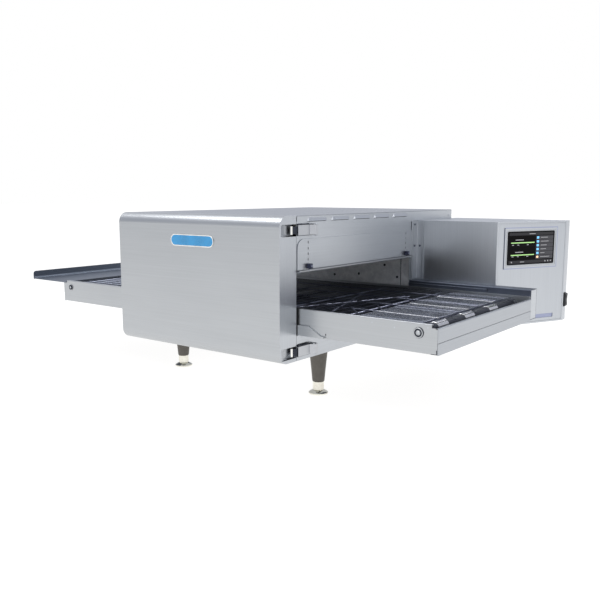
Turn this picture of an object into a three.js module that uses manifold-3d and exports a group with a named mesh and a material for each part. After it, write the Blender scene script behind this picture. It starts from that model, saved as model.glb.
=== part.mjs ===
// Countertop conveyor pizza oven, in millimetres, +Z up.
// The oven is drawn with X = 0 at the middle of the baking chamber, Y = 0 on the front cover's outer face and
// Z = 0 on the worktop. The exported group then moves that to the middle of the oven's footprint.
import * as THREE from "three";
import { mergeVertices } from "three/addons/utils/BufferGeometryUtils.js";
import Module from "manifold-3d";

const wasm = await Module();
wasm.setup();

// ---- Driving dimensions ----
const GAP = 0.3; // between pieces that touch
const SHEET = 1.5; // sheet metal thickness

const HALF_WIDTH = 268.5; // half of the baking chamber's outside width
const BODY_BOTTOM = 107.8;
const BODY_TOP = 437.8;
const BODY_REAR = 831;
const COVER_DEPTH = 59.5;
const COVER_RADIUS = 25;
const BODY_FRONT = COVER_DEPTH + 0.8; // the seam behind the front cover

const TUNNEL_BOTTOM = 166.5; // the opening that the conveyor passes through
const TUNNEL_TOP = 310;
const TUNNEL_REAR = 577;

const RAIL_FRONT = 66;
const RAIL_REAR = 572.5;
const RAIL_BOTTOM = 168;
const RAIL_TOP = 229.4;
const RAIL_END = 619; // half of the conveyor's length
const SHAFT_Z = 209.6;
const DRIVE_SHAFT_X = 575;
const IDLER_SHAFT_X = -585;
const SHAFT_RADIUS = 5;
const SPROCKET_RADIUS = 12.3;
const BELT_INNER_RADIUS = 13.5;
const BELT_THICKNESS = 1.6;
const BELT_FRONT = 85;
const BELT_REAR = 555;
const PAN_LIP_TOP = 191.5; // the crumb pan's lip closes the lower half of the conveyor's end
const END_PLATE_TOP = 222;

const TRAY_END = -792;
const CONTROL_FRONT = 617;
const CONTROL_REAR = 866;
const CONTROL_BOTTOM = 131;
const CONTROL_TOP = 411.5;
const CORNER = { x: 506, y: 617 }; // where the angled control face starts
const FACE_END = { x: 614, y: 842 }; // and where it ends
const SWITCH_RIGHT = 624;
const BADGE_FRONT = -2;

const LEG_X = 238;
const FRONT_LEG_Y = 187;
const REAR_LEG_Y = 771;
const FAN_X = 125;
const FAN_Z = 240;
const FAN_RADIUS = 72;
const FAN_Y = 603; // the front of the blower wheels' hubs
const CHAIN_Y = 590;
const CHAIN_SPROCKET_RADIUS = 18;
const MOTOR_X = 450;
const CUT_PAST = 1; // how far a cutting tool runs past the face that it cuts

// ---- Materials ----
const brushed = { color: 0xbec3c8, roughness: 0.35, metalness: 0.9 };
const darkSteel = { color: 0x6d7278, roughness: 0.5, metalness: 0.85 };
const polished = { color: 0xe8e4dc, roughness: 0.15, metalness: 1 };
const legPaint = { color: 0x625e59, roughness: 0.6, metalness: 0.3 };
const black = { color: 0x161718, roughness: 0.4, metalness: 0 };
const enamelBlue = { color: 0x3a95cc, roughness: 0.25, metalness: 0.2 };
const wool = { color: 0xd8cfae, roughness: 1, metalness: 0 };
const motorGrey = { color: 0x3f4347, roughness: 0.55, metalness: 0.5 };
const boardGreen = { color: 0x1f5a3a, roughness: 0.6, metalness: 0 };

// ---- Solid helpers ----
function solidFrom(geometry) {
  const bare = geometry.index ? geometry.toNonIndexed() : geometry.clone();
  bare.deleteAttribute("normal");
  bare.deleteAttribute("uv");
  const merged = mergeVertices(bare, 1e-3);
  return new wasm.Manifold(
    new wasm.Mesh({
      numProp: 3,
      vertProperties: merged.attributes.position.array,
      triVerts: new Uint32Array(merged.index.array),
    }),
  );
}

function geometryFrom(solid) {
  const { vertProperties, triVerts } = solid.getMesh();
  const geometry = new THREE.BufferGeometry();
  geometry.setAttribute("position", new THREE.BufferAttribute(new Float32Array(vertProperties), 3));
  geometry.setIndex(new THREE.BufferAttribute(new Uint32Array(triVerts), 1));
  const flat = geometry.toNonIndexed();
  flat.computeVertexNormals();
  return flat;
}

function box(x0, x1, y0, y1, z0, z1) {
  const geometry = new THREE.BoxGeometry(x1 - x0, y1 - y0, z1 - z0);
  geometry.translate((x0 + x1) / 2, (y0 + y1) / 2, (z0 + z1) / 2);
  return solidFrom(geometry);
}

function join(...solids) {
  return solids.reduce((whole, next) => whole.add(next));
}

function cut(solid, ...tools) {
  return tools.reduce((rest, tool) => rest.subtract(tool), solid);
}

const ALONG_X = new THREE.Matrix4().makeBasis(
  new THREE.Vector3(0, 1, 0),
  new THREE.Vector3(0, 0, 1),
  new THREE.Vector3(1, 0, 0),
);
const ALONG_Y = new THREE.Matrix4().makeBasis(
  new THREE.Vector3(1, 0, 0),
  new THREE.Vector3(0, 0, 1),
  new THREE.Vector3(0, -1, 0),
);

function extrude(shape, depth, curveSegments) {
  return new THREE.ExtrudeGeometry(shape, { depth, bevelEnabled: false, curveSegments });
}

// An outline in (y, z), extruded from x0 to x1.
function alongX(shape, x0, x1, curveSegments = 6) {
  return solidFrom(extrude(shape, x1 - x0, curveSegments).applyMatrix4(ALONG_X).translate(x0, 0, 0));
}

// An outline in (x, z), extruded from y0 to y1.
function alongY(shape, y0, y1, curveSegments = 6) {
  return solidFrom(extrude(shape, y1 - y0, curveSegments).applyMatrix4(ALONG_Y).translate(0, y1, 0));
}

// An outline in (x, y), extruded from z0 to z1.
function alongZ(shape, z0, z1, curveSegments = 6) {
  return solidFrom(extrude(shape, z1 - z0, curveSegments).translate(0, 0, z0));
}

function outline(points) {
  return new THREE.Shape(points.map(([a, b]) => new THREE.Vector2(a, b)));
}

function circle(a, b, radius) {
  return new THREE.Shape().absarc(a, b, radius, 0, 2 * Math.PI);
}

// A closed loop of round ends and straight sides between two centres at the same height.
function stadium(a0, a1, b, radius, Kind = THREE.Shape) {
  const shape = new Kind();
  shape.absarc(a1, b, radius, -Math.PI / 2, Math.PI / 2);
  shape.absarc(a0, b, radius, Math.PI / 2, (3 * Math.PI) / 2);
  return shape;
}

// A turned piece whose profile is given as (radius, height); it stands along Y.
function turned(profile, segments) {
  const points = profile.map(([radius, height]) => new THREE.Vector2(radius, height));
  return new THREE.LatheGeometry(points, segments);
}

function mirrored(solid) {
  return solid.mirror([1, 0, 0]);
}

const oven = new THREE.Group();

function addPiece(name, shape, finish, x = 0, y = 0, z = 0) {
  const geometry = shape.isBufferGeometry ? shape : geometryFrom(shape);
  const mesh = new THREE.Mesh(geometry, new THREE.MeshStandardMaterial(finish));
  mesh.name = name;
  mesh.position.set(x, y, z);
  oven.add(mesh);
  return mesh;
}

// ---- Cabinet ----
const BASE_PAN_TOP = 132;

function basePan() {
  const outer = HALF_WIDTH - SHEET - GAP;
  const rear = BODY_REAR - SHEET - GAP;
  const pan = box(-outer, outer, BODY_FRONT, rear, BODY_BOTTOM, BASE_PAN_TOP);
  const inside = box(
    SHEET - outer, outer - SHEET, BODY_FRONT + SHEET, rear - SHEET,
    BODY_BOTTOM + SHEET, BASE_PAN_TOP + CUT_PAST,
  );
  return cut(pan, inside);
}

const LATCH_PIVOT = { x: 280, y: 118 };
const LATCH_HEIGHTS = { upper: 405.5, lower: 129.5 };
const LATCH_SEAT = { halfDepth: 3.5, halfHeight: 6, pinRadius: 2, pinLength: 20 };
const LOUVRE_COUNT = 5;
const LOUVRE_LENGTH = 79;
const LOUVRE_PITCH = 95;
const LOUVRE_START = 98;
const LOUVRE_Z = 425;
const LOUVRE_OUT = 3;
const LOUVRE_RISE = 8;
const LOUVRE_WALL = 1.2;
const KNOB_Z = 323;
const KNOB_Y = { front: 101, rear: 549 };
const KNOB_SLOT_HALF = 3.5;
const BAFFLE_STANDOFF = 0.5;

// A block on the side panel that carries a latch's upright pin.
function latchSeat(height) {
  const { x, y } = LATCH_PIVOT;
  const { halfDepth, halfHeight, pinRadius, pinLength } = LATCH_SEAT;
  const block = box(
    HALF_WIDTH - 0.5, x, y - halfDepth, y + halfDepth, height - halfHeight, height + halfHeight,
  );
  const upright = new THREE.CylinderGeometry(pinRadius, pinRadius, pinLength, 12).rotateX(Math.PI / 2);
  return join(block, solidFrom(upright).translate([x, y, height]));
}

function rightSidePanel() {
  const inner = HALF_WIDTH - SHEET;
  const rear = BODY_REAR - SHEET - GAP;
  const top = BODY_TOP - SHEET - GAP;
  const profile = outline([
    [BODY_FRONT, BODY_BOTTOM], [rear, BODY_BOTTOM], [rear, top], [BODY_FRONT, top],
    [BODY_FRONT, TUNNEL_TOP], [TUNNEL_REAR, TUNNEL_TOP], [TUNNEL_REAR, TUNNEL_BOTTOM],
    [BODY_FRONT, TUNNEL_BOTTOM],
  ]);
  let panel = alongX(profile, inner, HALF_WIDTH);
  for (let i = 0; i < LOUVRE_COUNT; i++) {
    const start = LOUVRE_START + i * LOUVRE_PITCH;
    const end = start + LOUVRE_LENGTH;
    const hood = box(inner, HALF_WIDTH + LOUVRE_OUT, start, end, LOUVRE_Z - 1, LOUVRE_Z + LOUVRE_RISE);
    const slot = box(
      inner - CUT_PAST, HALF_WIDTH + LOUVRE_OUT - LOUVRE_WALL, start + 2, end - 2,
      LOUVRE_Z - 1 - CUT_PAST, LOUVRE_Z + LOUVRE_RISE - SHEET,
    );
    panel = cut(join(panel, hood), slot);
  }
  for (const y of Object.values(KNOB_Y)) {
    const front = y - KNOB_SLOT_HALF;
    const back = y + KNOB_SLOT_HALF;
    panel = cut(panel, box(inner - 1, HALF_WIDTH + 1, front, back, TUNNEL_TOP - CUT_PAST, KNOB_Z + 4));
  }
  return join(panel, latchSeat(LATCH_HEIGHTS.upper), latchSeat(LATCH_HEIGHTS.lower));
}

const TOP_RIB = { x: 262.9, front: 90, rear: 800, bottom: 424 };

// The top sheet, with a stiffening rib along each long edge.
function topPanel() {
  const skin = box(-HALF_WIDTH, HALF_WIDTH, BODY_FRONT, BODY_REAR, BODY_TOP - SHEET, BODY_TOP);
  const { x, front, rear, bottom } = TOP_RIB;
  const rib = box(x, x + SHEET, front, rear, bottom, BODY_TOP - SHEET + 0.5);
  return join(skin, rib, mirrored(rib));
}

const INLET = { x: 200, z: 160, radius: 9.5 };
const VENT = { pitch: 20, halfWidth: 4, halfHeight: 45 };

function rearPanel() {
  const top = BODY_TOP - SHEET - GAP;
  let panel = box(-HALF_WIDTH, HALF_WIDTH, BODY_REAR - SHEET, BODY_REAR, BODY_BOTTOM, top);
  for (const side of [-1, 1]) {
    for (let i = -2; i <= 2; i++) {
      const x = side * FAN_X + i * VENT.pitch;
      panel = cut(panel, box(
        x - VENT.halfWidth, x + VENT.halfWidth, BODY_REAR - SHEET - CUT_PAST, BODY_REAR + CUT_PAST,
        FAN_Z - VENT.halfHeight, FAN_Z + VENT.halfHeight,
      ));
    }
  }
  return cut(panel, alongY(circle(INLET.x, INLET.z, INLET.radius), BODY_REAR - 3, BODY_REAR + 1));
}

// ---- Baking chamber ----
const LINER_BOTTOM = 112;
const LINER_TOP = 402;
const LINER_REAR = 602;
const LINER_SHEET = 2;
const LINER_HALF = HALF_WIDTH - 2 * SHEET - GAP - 0.7;
const INLET_RADIUS = 50; // the round openings that the blowers draw through
const DUCT_HALF = 190; // half the width of the two ducts that feed the jet plates
const UPPER_DUCT = { bottom: 330, top: 390 };
const LOWER_DUCT = { bottom: 122, top: 156 };

function chamberLiner() {
  const front = BODY_FRONT + SHEET + 0.7;
  const profile = outline([
    [front, LINER_BOTTOM], [LINER_REAR, LINER_BOTTOM], [LINER_REAR, LINER_TOP], [front, LINER_TOP],
    [front, LINER_TOP - LINER_SHEET], [LINER_REAR - LINER_SHEET, LINER_TOP - LINER_SHEET],
    [LINER_REAR - LINER_SHEET, LINER_BOTTOM + LINER_SHEET], [front, LINER_BOTTOM + LINER_SHEET],
  ]);
  const near = LINER_REAR - 5;
  const far = LINER_REAR + 5;
  const inlets = [-FAN_X, FAN_X].map((x) => alongY(circle(x, FAN_Z, INLET_RADIUS), near, far));
  return cut(
    alongX(profile, -LINER_HALF, LINER_HALF),
    ...inlets,
    box(-DUCT_HALF, DUCT_HALF, near, far, UPPER_DUCT.bottom, UPPER_DUCT.top),
    box(-DUCT_HALF, DUCT_HALF, near, far, LOWER_DUCT.bottom, LOWER_DUCT.top),
  );
}

const JET = { half: 215, front: 76, sheet: 2, slotHalf: 195, slotWidth: 9, slotPitch: 55, firstSlot: 105 };

// A hollow air box, open at the rear, with slots in the face towards the belt.
function jetPlate(bottom, top, slotBottom, slotTop) {
  const rear = LINER_REAR - LINER_SHEET - GAP;
  const { half, front, sheet } = JET;
  const shell = box(-half, half, front, rear, bottom, top);
  const inside = box(sheet - half, half - sheet, front + sheet, rear + CUT_PAST, bottom + sheet, top - sheet);
  const slots = [];
  for (let y = JET.firstSlot; y < BELT_REAR; y += JET.slotPitch) {
    slots.push(box(-JET.slotHalf, JET.slotHalf, y, y + JET.slotWidth, slotBottom, slotTop));
  }
  return cut(shell, inside, ...slots);
}

function heatingElement() {
  const loop = new THREE.CurvePath();
  const y = 640;
  const rear = 690;
  const lead = 12; // half the distance between the two leads
  const right = 222;
  const low = 152;
  const high = 328;
  const corner = 24;
  const at = (x, z) => new THREE.Vector3(x, y, z);
  const line = (from, to) => loop.add(new THREE.LineCurve3(from, to));
  const bend = (from, via, to) => loop.add(new THREE.QuadraticBezierCurve3(from, via, to));
  line(new THREE.Vector3(-lead, rear, high), new THREE.Vector3(-lead, y + corner, high));
  bend(new THREE.Vector3(-lead, y + corner, high), at(-lead, high), at(-lead - corner, high));
  line(at(-lead - corner, high), at(corner - right, high));
  bend(at(corner - right, high), at(-right, high), at(-right, high - corner));
  line(at(-right, high - corner), at(-right, low + corner));
  bend(at(-right, low + corner), at(-right, low), at(corner - right, low));
  line(at(corner - right, low), at(right - corner, low));
  bend(at(right - corner, low), at(right, low), at(right, low + corner));
  line(at(right, low + corner), at(right, high - corner));
  bend(at(right, high - corner), at(right, high), at(right - corner, high));
  line(at(right - corner, high), at(lead + corner, high));
  bend(at(lead + corner, high), at(lead, high), new THREE.Vector3(lead, y + corner, high));
  line(new THREE.Vector3(lead, y + corner, high), new THREE.Vector3(lead, rear, high));
  const section = new THREE.Shape().absarc(0, 0, 4, 0, 2 * Math.PI);
  return new THREE.ExtrudeGeometry(section, {
    extrudePath: loop, steps: 60, bevelEnabled: false, curveSegments: 4,
  });
}

function blowerWheel() {
  const back = turned(
    [[0, 44], [0, 43], [FAN_RADIUS, 43], [FAN_RADIUS, 45], [12, 45], [12, 56], [0, 56]],
    24,
  );
  const hub = turned([[0, 12], [12, 12], [12, 44], [0, 44]], 12);
  const ring = turned(
    [[FAN_RADIUS - 14, 10], [FAN_RADIUS, 10], [FAN_RADIUS, 12], [FAN_RADIUS - 14, 12], [FAN_RADIUS - 14, 10]],
    24,
  );
  let wheel = join(solidFrom(back), solidFrom(hub), solidFrom(ring));
  const bladeCount = 10;
  for (let i = 0; i < bladeCount; i++) {
    const blade = box(FAN_RADIUS - 16, FAN_RADIUS - 1, 11, 44, -0.8, 0.8);
    wheel = wheel.add(blade.rotate([0, (360 * i) / bladeCount, 0]));
  }
  return wheel;
}

function blowerMotor() {
  const profile = [[0, 0], [16, 0], [16, 14], [45, 18], [45, 104], [30, 112], [0, 112]];
  return turned(profile, 16);
}

// ---- Front cover and its latches ----
const POCKET_DEPTH = 20;
const POCKET_HALF_HEIGHT = 13.5;
const POCKET_FRONT = 4;

// The cover's side view: a tall box with its two front edges rounded.
function coverProfile(inset) {
  const shape = new THREE.Shape();
  const radius = COVER_RADIUS - inset;
  const bottom = BODY_BOTTOM + COVER_RADIUS;
  const top = BODY_TOP - COVER_RADIUS;
  shape.moveTo(COVER_DEPTH + inset, BODY_BOTTOM + inset);
  shape.lineTo(COVER_DEPTH + inset, BODY_TOP - inset);
  shape.absarc(COVER_RADIUS, top, radius, Math.PI / 2, Math.PI);
  shape.absarc(COVER_RADIUS, bottom, radius, Math.PI, (3 * Math.PI) / 2);
  shape.closePath();
  return shape;
}

function latchPocket(height, wall) {
  const inner = HALF_WIDTH - POCKET_DEPTH - wall;
  const half = POCKET_HALF_HEIGHT + wall;
  return box(inner, HALF_WIDTH + 1, POCKET_FRONT - wall, COVER_DEPTH + 3, height - half, height + half);
}

function frontCover() {
  const skin = alongX(coverProfile(0), -HALF_WIDTH, HALF_WIDTH);
  let hollow = alongX(coverProfile(SHEET), SHEET - HALF_WIDTH, HALF_WIDTH - SHEET);
  const pockets = [];
  for (const height of Object.values(LATCH_HEIGHTS)) {
    const wall = latchPocket(height, SHEET);
    const pocket = latchPocket(height, 0);
    hollow = cut(hollow, wall, mirrored(wall));
    pockets.push(pocket, mirrored(pocket));
  }
  return cut(skin, hollow, ...pockets);
}

const COVER_LINER = { front: 44, bottom: 113, top: 432.5 };

function frontCoverLiner() {
  const half = HALF_WIDTH - POCKET_DEPTH - SHEET - 3;
  const { front, bottom, top } = COVER_LINER;
  const rear = COVER_DEPTH - GAP;
  const tray = box(-half, half, front, rear, bottom, top);
  return cut(tray, box(
    SHEET - half, half - SHEET, front - CUT_PAST, rear - SHEET, bottom + SHEET, top - SHEET,
  ));
}

const BADGE = { half: 57.5, z: 375.2, radius: 14.2 };

function frontBadge() {
  return alongY(stadium(-BADGE.half, BADGE.half, BADGE.z, BADGE.radius), BADGE_FRONT, -GAP, 8);
}

// A channel-shaped lever on an upright pin, with a hook that reaches into the cover's pocket.
function latchLever() {
  const { x, y } = LATCH_PIVOT;
  const face = box(x + 3.5, x + 5.5, BODY_FRONT + 0.7, y + 5.5, -11.5, 11.5);
  let lever = face;
  for (const z of [-9, 7]) {
    lever = join(lever, box(x - 5, x + 4, y - 14, y + 5.5, z, z + 2));
  }
  const link = alongZ(outline([[x - 4, y - 10], [x - 4, y - 14], [270.5, 60], [264, 45], [264, 41],
    [266, 41], [266, 44], [272.5, 58.5], [x - 1, y - 12], [x - 1, y - 10]]), -8.5, 8.5);
  lever = join(lever, link);
  const bore = new THREE.CylinderGeometry(2.4, 2.4, 40, 12).rotateX(Math.PI / 2).translate(x, y, 0);
  return cut(lever, solidFrom(bore));
}

// ---- Height-adjusting baffles ----
const BAFFLE_TOP = 385;

function rightBafflePlate() {
  const inner = HALF_WIDTH + BAFFLE_STANDOFF;
  const front = 62;
  const rear = 587;
  const corner = 22;
  const shape = new THREE.Shape();
  shape.moveTo(front, TUNNEL_TOP);
  shape.lineTo(rear, TUNNEL_TOP);
  shape.lineTo(rear, BAFFLE_TOP);
  shape.lineTo(front + corner, BAFFLE_TOP);
  shape.absarc(front + corner, BAFFLE_TOP - corner, corner, Math.PI / 2, Math.PI);
  shape.closePath();
  const lip = box(inner, inner + 8, front, rear, TUNNEL_TOP, TUNNEL_TOP + SHEET);
  const holes = Object.values(KNOB_Y).map((y) => alongX(circle(y, KNOB_Z, 2.6), inner - 1, inner + 5));
  return cut(join(alongX(shape, inner, inner + SHEET), lip), ...holes);
}

// A clamping knob, turned along Y; its stem passes through the baffle and the side panel's slot.
function baffleKnob() {
  return turned([[0, -11], [2, -11], [2, 0], [7, 0], [7, 9], [5, 11], [0, 11]], 12);
}

// ---- Conveyor ----
const RAIL_RIGHT = RAIL_END - SHEET - GAP;
const RAIL_NOTCH = 604; // the upper corner at each end is cut away from here on
const BEARING_SEAT_RADIUS = 8.5;
const RAIL_SLOT = { left: 344.4, right: 346.8, bottom: 170, top: 180 };

function shaftHoles(radius, y) {
  return [DRIVE_SHAFT_X, IDLER_SHAFT_X].map((x) => alongY(circle(x, SHAFT_Z, radius), y - 5, y + 5));
}

function frontRail() {
  const web = box(-RAIL_RIGHT, RAIL_RIGHT, RAIL_FRONT, RAIL_FRONT + SHEET, RAIL_BOTTOM, RAIL_TOP);
  const foot = box(-RAIL_RIGHT, RAIL_RIGHT, RAIL_FRONT, 80, RAIL_BOTTOM, RAIL_BOTTOM + SHEET);
  const brow = box(-RAIL_RIGHT, RAIL_RIGHT, RAIL_FRONT, 71, RAIL_TOP - SHEET, RAIL_TOP);
  const notch = box(RAIL_NOTCH, RAIL_END, RAIL_FRONT - CUT_PAST, 75, END_PLATE_TOP, RAIL_TOP + CUT_PAST);
  const { left, right, bottom, top } = RAIL_SLOT;
  const slot = box(left, right, RAIL_FRONT - CUT_PAST, RAIL_FRONT + SHEET + CUT_PAST, bottom, top);
  const bearingSeats = shaftHoles(BEARING_SEAT_RADIUS, RAIL_FRONT);
  return cut(join(web, foot, brow), notch, mirrored(notch), slot, ...bearingSeats);
}

function rearRail() {
  const front = RAIL_REAR - SHEET;
  const web = box(-RAIL_RIGHT, RAIL_RIGHT, front, RAIL_REAR, RAIL_BOTTOM, RAIL_TOP);
  const foot = box(-RAIL_RIGHT, RAIL_RIGHT, front - 12, RAIL_REAR, RAIL_BOTTOM, RAIL_BOTTOM + SHEET);
  return cut(join(web, foot), ...shaftHoles(SHAFT_RADIUS + 0.6, RAIL_REAR));
}

function endPlate() {
  return box(RAIL_END - SHEET, RAIL_END, RAIL_FRONT, RAIL_REAR, PAN_LIP_TOP + 0.8, END_PLATE_TOP);
}

const CRUMB_PAN = { start: 290, front: 82, rear: 557, bottom: 171, top: 184 };

// A drawer below the belt: its lip closes the lower half of the conveyor's end.
function crumbPan() {
  const { start, front, rear, bottom, top } = CRUMB_PAN;
  const lip = box(RAIL_END - SHEET, RAIL_END, RAIL_FRONT, RAIL_REAR, RAIL_BOTTOM - 1, PAN_LIP_TOP);
  const tray = box(start, RAIL_END - SHEET + 0.5, front, rear, bottom, top);
  const inside = box(
    start + SHEET, RAIL_END - SHEET - 0.7, front + SHEET, rear - SHEET, bottom + SHEET, top + CUT_PAST,
  );
  return join(lip, cut(tray, inside));
}

const SHAFT_FRONT = 62.8;
const SHAFT_SPROCKET = { first: 108, pitch: 106, width: 8 };

// One disc of a turned profile, from y0 to y1, standing on a shaft.
function disc(shaft, radius, y0, y1) {
  return [[shaft, y0], [radius, y0], [radius, y1], [shaft, y1]];
}

// A shaft with its sprockets as plain discs, turned along Y.
function sprocketShaft(endY) {
  const profile = [[0, SHAFT_FRONT], [SHAFT_RADIUS, SHAFT_FRONT]];
  for (let y = SHAFT_SPROCKET.first; y < BELT_REAR; y += SHAFT_SPROCKET.pitch) {
    profile.push(...disc(SHAFT_RADIUS, SPROCKET_RADIUS, y, y + SHAFT_SPROCKET.width));
  }
  if (endY > CHAIN_Y) {
    profile.push(...disc(SHAFT_RADIUS, CHAIN_SPROCKET_RADIUS, CHAIN_Y - 2, CHAIN_Y + 2));
  }
  profile.push([SHAFT_RADIUS, endY], [0, endY]);
  return turned(profile, 12);
}

function bearing() {
  const bore = SHAFT_RADIUS + 0.4;
  return turned([[bore, 63.2], [10, 63.2], [10, 65.7], [8, 65.7], [8, 72], [bore, 72], [bore, 63.2]], 16);
}

function wireBelt() {
  const loop = stadium(IDLER_SHAFT_X, DRIVE_SHAFT_X, SHAFT_Z, BELT_INNER_RADIUS + BELT_THICKNESS);
  loop.holes.push(stadium(IDLER_SHAFT_X, DRIVE_SHAFT_X, SHAFT_Z, BELT_INNER_RADIUS, THREE.Path));
  return alongY(loop, BELT_FRONT, BELT_REAR, 8);
}

const RACK = { end: 545, rodTop: 219, rodBottom: 215, crossBottom: 211 };
const RACK_ROD_Y = [102, 205, 311, 417, 523];
const RACK_CROSS_X = [-540, -360, -180, 0, 180, 360, 540];

// A welded grid of rods between the belt's two runs; the cross rods sit on the rails.
function beltSupportRack() {
  const front = RAIL_FRONT + SHEET + GAP;
  const rear = RAIL_REAR - SHEET - GAP;
  const { end, rodTop, rodBottom, crossBottom } = RACK;
  const rods = RACK_ROD_Y.map((y) => box(-end, end, y - 2, y + 2, rodBottom, rodTop));
  const crossRods = RACK_CROSS_X.map((x) => box(x - 2.5, x + 2.5, front, rear, crossBottom, rodBottom + 0.5));
  return join(...rods, ...crossRods);
}

const BRACKET = { front: 62, right: 342, slopeRight: 334, slopeLeft: 299, toeTop: 173, top: 192 };

// A plate that carries the conveyor's rail on the cabinet, with a sloping upper corner.
function supportBracket() {
  const inner = HALF_WIDTH + GAP;
  const { front, right, slopeRight, slopeLeft, toeTop, top } = BRACKET;
  const shape = outline([
    [inner, RAIL_BOTTOM], [right, RAIL_BOTTOM], [right, toeTop], [slopeRight, toeTop],
    [slopeLeft, top], [inner, top],
  ]);
  return alongY(shape, front, RAIL_FRONT - GAP);
}

const TRAY = { start: -623, front: 74, rear: 560, floor: 219, lipTop: 244, riserBottom: 200, hookTop: 224 };

// A tray that hangs on the conveyor's end plate and catches what leaves the belt.
function leftExitTray() {
  const { start, front, rear } = TRAY;
  const floor = box(TRAY_END, start + SHEET, front, rear, TRAY.floor, TRAY.floor + SHEET);
  const lip = box(TRAY_END, TRAY_END + SHEET, front, rear, TRAY.floor, TRAY.lipTop);
  const riser = box(start, start + SHEET, front, rear, TRAY.riserBottom, TRAY.hookTop);
  const hook = box(start, start + 7, front, rear, END_PLATE_TOP + 0.5, TRAY.hookTop);
  return join(floor, lip, riser, hook);
}

const CHAIN_COVER_TOP = 245;
const SHAFT_HOLE_RADIUS = SHAFT_RADIUS + 1;

// A closed box beside the belt that covers the drive chain.
function chainCover() {
  const left = HALF_WIDTH + GAP;
  const right = RAIL_END - 2;
  const front = TUNNEL_REAR;
  const rear = CONTROL_FRONT - GAP;
  const shell = box(left, right, front, rear, RAIL_BOTTOM, CHAIN_COVER_TOP);
  const inside = box(
    left + SHEET, right - SHEET, front + SHEET, rear - SHEET, RAIL_BOTTOM + SHEET, CHAIN_COVER_TOP - SHEET,
  );
  const shaftHole = alongY(circle(DRIVE_SHAFT_X, SHAFT_Z, SHAFT_HOLE_RADIUS), front - 2, front + 3);
  const motorHole = alongY(circle(MOTOR_X, SHAFT_Z, SHAFT_HOLE_RADIUS), rear - 4, rear + 3);
  return cut(shell, inside, shaftHole, motorHole);
}

function driveChain() {
  const inner = CHAIN_SPROCKET_RADIUS + 1.5;
  const outer = inner + 3.5;
  const loop = stadium(MOTOR_X, DRIVE_SHAFT_X, SHAFT_Z, outer);
  loop.holes.push(stadium(MOTOR_X, DRIVE_SHAFT_X, SHAFT_Z, inner, THREE.Path));
  return alongY(loop, CHAIN_Y - 3, CHAIN_Y + 3, 8);
}

const MOTOR_FRONT = 629.5;

// The motor's short shaft with its sprocket as a plain disc.
function motorSprocket() {
  const front = 584;
  const rear = MOTOR_FRONT - 0.5;
  const toothed = disc(SHAFT_RADIUS, CHAIN_SPROCKET_RADIUS, CHAIN_Y - 2, CHAIN_Y + 2);
  return turned([[0, front], [SHAFT_RADIUS, front], ...toothed, [SHAFT_RADIUS, rear], [0, rear]], 12);
}

function driveMotor() {
  return turned(
    [[0, MOTOR_FRONT], [14, MOTOR_FRONT], [14, 636], [32, 636], [32, 750], [22, 758], [0, 758]],
    16,
  );
}

// ---- Control box ----
const FACE_LENGTH = Math.hypot(FACE_END.x - CORNER.x, FACE_END.y - CORNER.y);
const FACE_TURN = Math.atan2(FACE_END.y - CORNER.y, FACE_END.x - CORNER.x);
const FACE_FRAME = 5; // the box's rim that shows around the face panel
const FACE_SLOT = { left: 145, right: 212, bottom: 144, top: 155, depth: 2.4 };
const SCREEN = { left: 35.9, right: 203.8, bottom: 296, top: 385.2 };

function controlOutline(inset) {
  const left = HALF_WIDTH + GAP + inset;
  const right = FACE_END.x - inset;
  return outline([
    [left, CONTROL_FRONT + inset], [CORNER.x - inset, CONTROL_FRONT + inset],
    [right, FACE_END.y + inset / 2], [right, CONTROL_REAR - inset], [left, CONTROL_REAR - inset],
  ]);
}

// Puts a solid drawn with x along the angled face and y into the box onto that face.
function ontoFace(solid) {
  return solid.rotate([0, 0, THREE.MathUtils.radToDeg(FACE_TURN)]).translate([CORNER.x, CORNER.y, 0]);
}

const SWITCH = { front: 846, rear: 862, bottom: 170, top: 208 };

function controlBox() {
  const shell = alongZ(controlOutline(0), CONTROL_BOTTOM, CONTROL_TOP);
  const inside = alongZ(controlOutline(SHEET), CONTROL_BOTTOM + SHEET, CONTROL_TOP - SHEET);
  const window = ontoFace(box(
    FACE_FRAME, FACE_LENGTH - FACE_FRAME, -CUT_PAST, 6, CONTROL_BOTTOM + FACE_FRAME, CONTROL_TOP - FACE_FRAME,
  ));
  const motorHole = alongY(circle(MOTOR_X, SHAFT_Z, SHAFT_HOLE_RADIUS), CONTROL_FRONT - 5, CONTROL_FRONT + 5);
  const switchHole = box(
    FACE_END.x - 5, FACE_END.x + 5, SWITCH.front - 1, SWITCH.rear + 1, SWITCH.bottom - 1, SWITCH.top + 1,
  );
  return cut(shell, inside, window, motorHole, switchHole);
}

// The angled front panel, with a recess for the screen and a shallow slot near its lower edge.
function controlFacePanel() {
  const inset = FACE_FRAME + GAP;
  const bottom = CONTROL_BOTTOM + inset;
  const top = CONTROL_TOP - inset;
  const plate = box(inset, FACE_LENGTH - inset, 0.4, 3.5, bottom, top);
  const screenRecess = box(
    SCREEN.left - GAP, SCREEN.right + GAP, -CUT_PAST, FACE_SLOT.depth, SCREEN.bottom - GAP, SCREEN.top + GAP,
  );
  const slot = box(
    FACE_SLOT.left, FACE_SLOT.right, -CUT_PAST, FACE_SLOT.depth, FACE_SLOT.bottom, FACE_SLOT.top,
  );
  return ontoFace(cut(plate, screenRecess, slot));
}

function touchScreen() {
  return ontoFace(box(SCREEN.left, SCREEN.right, -0.8, 2.1, SCREEN.bottom, SCREEN.top));
}

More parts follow.
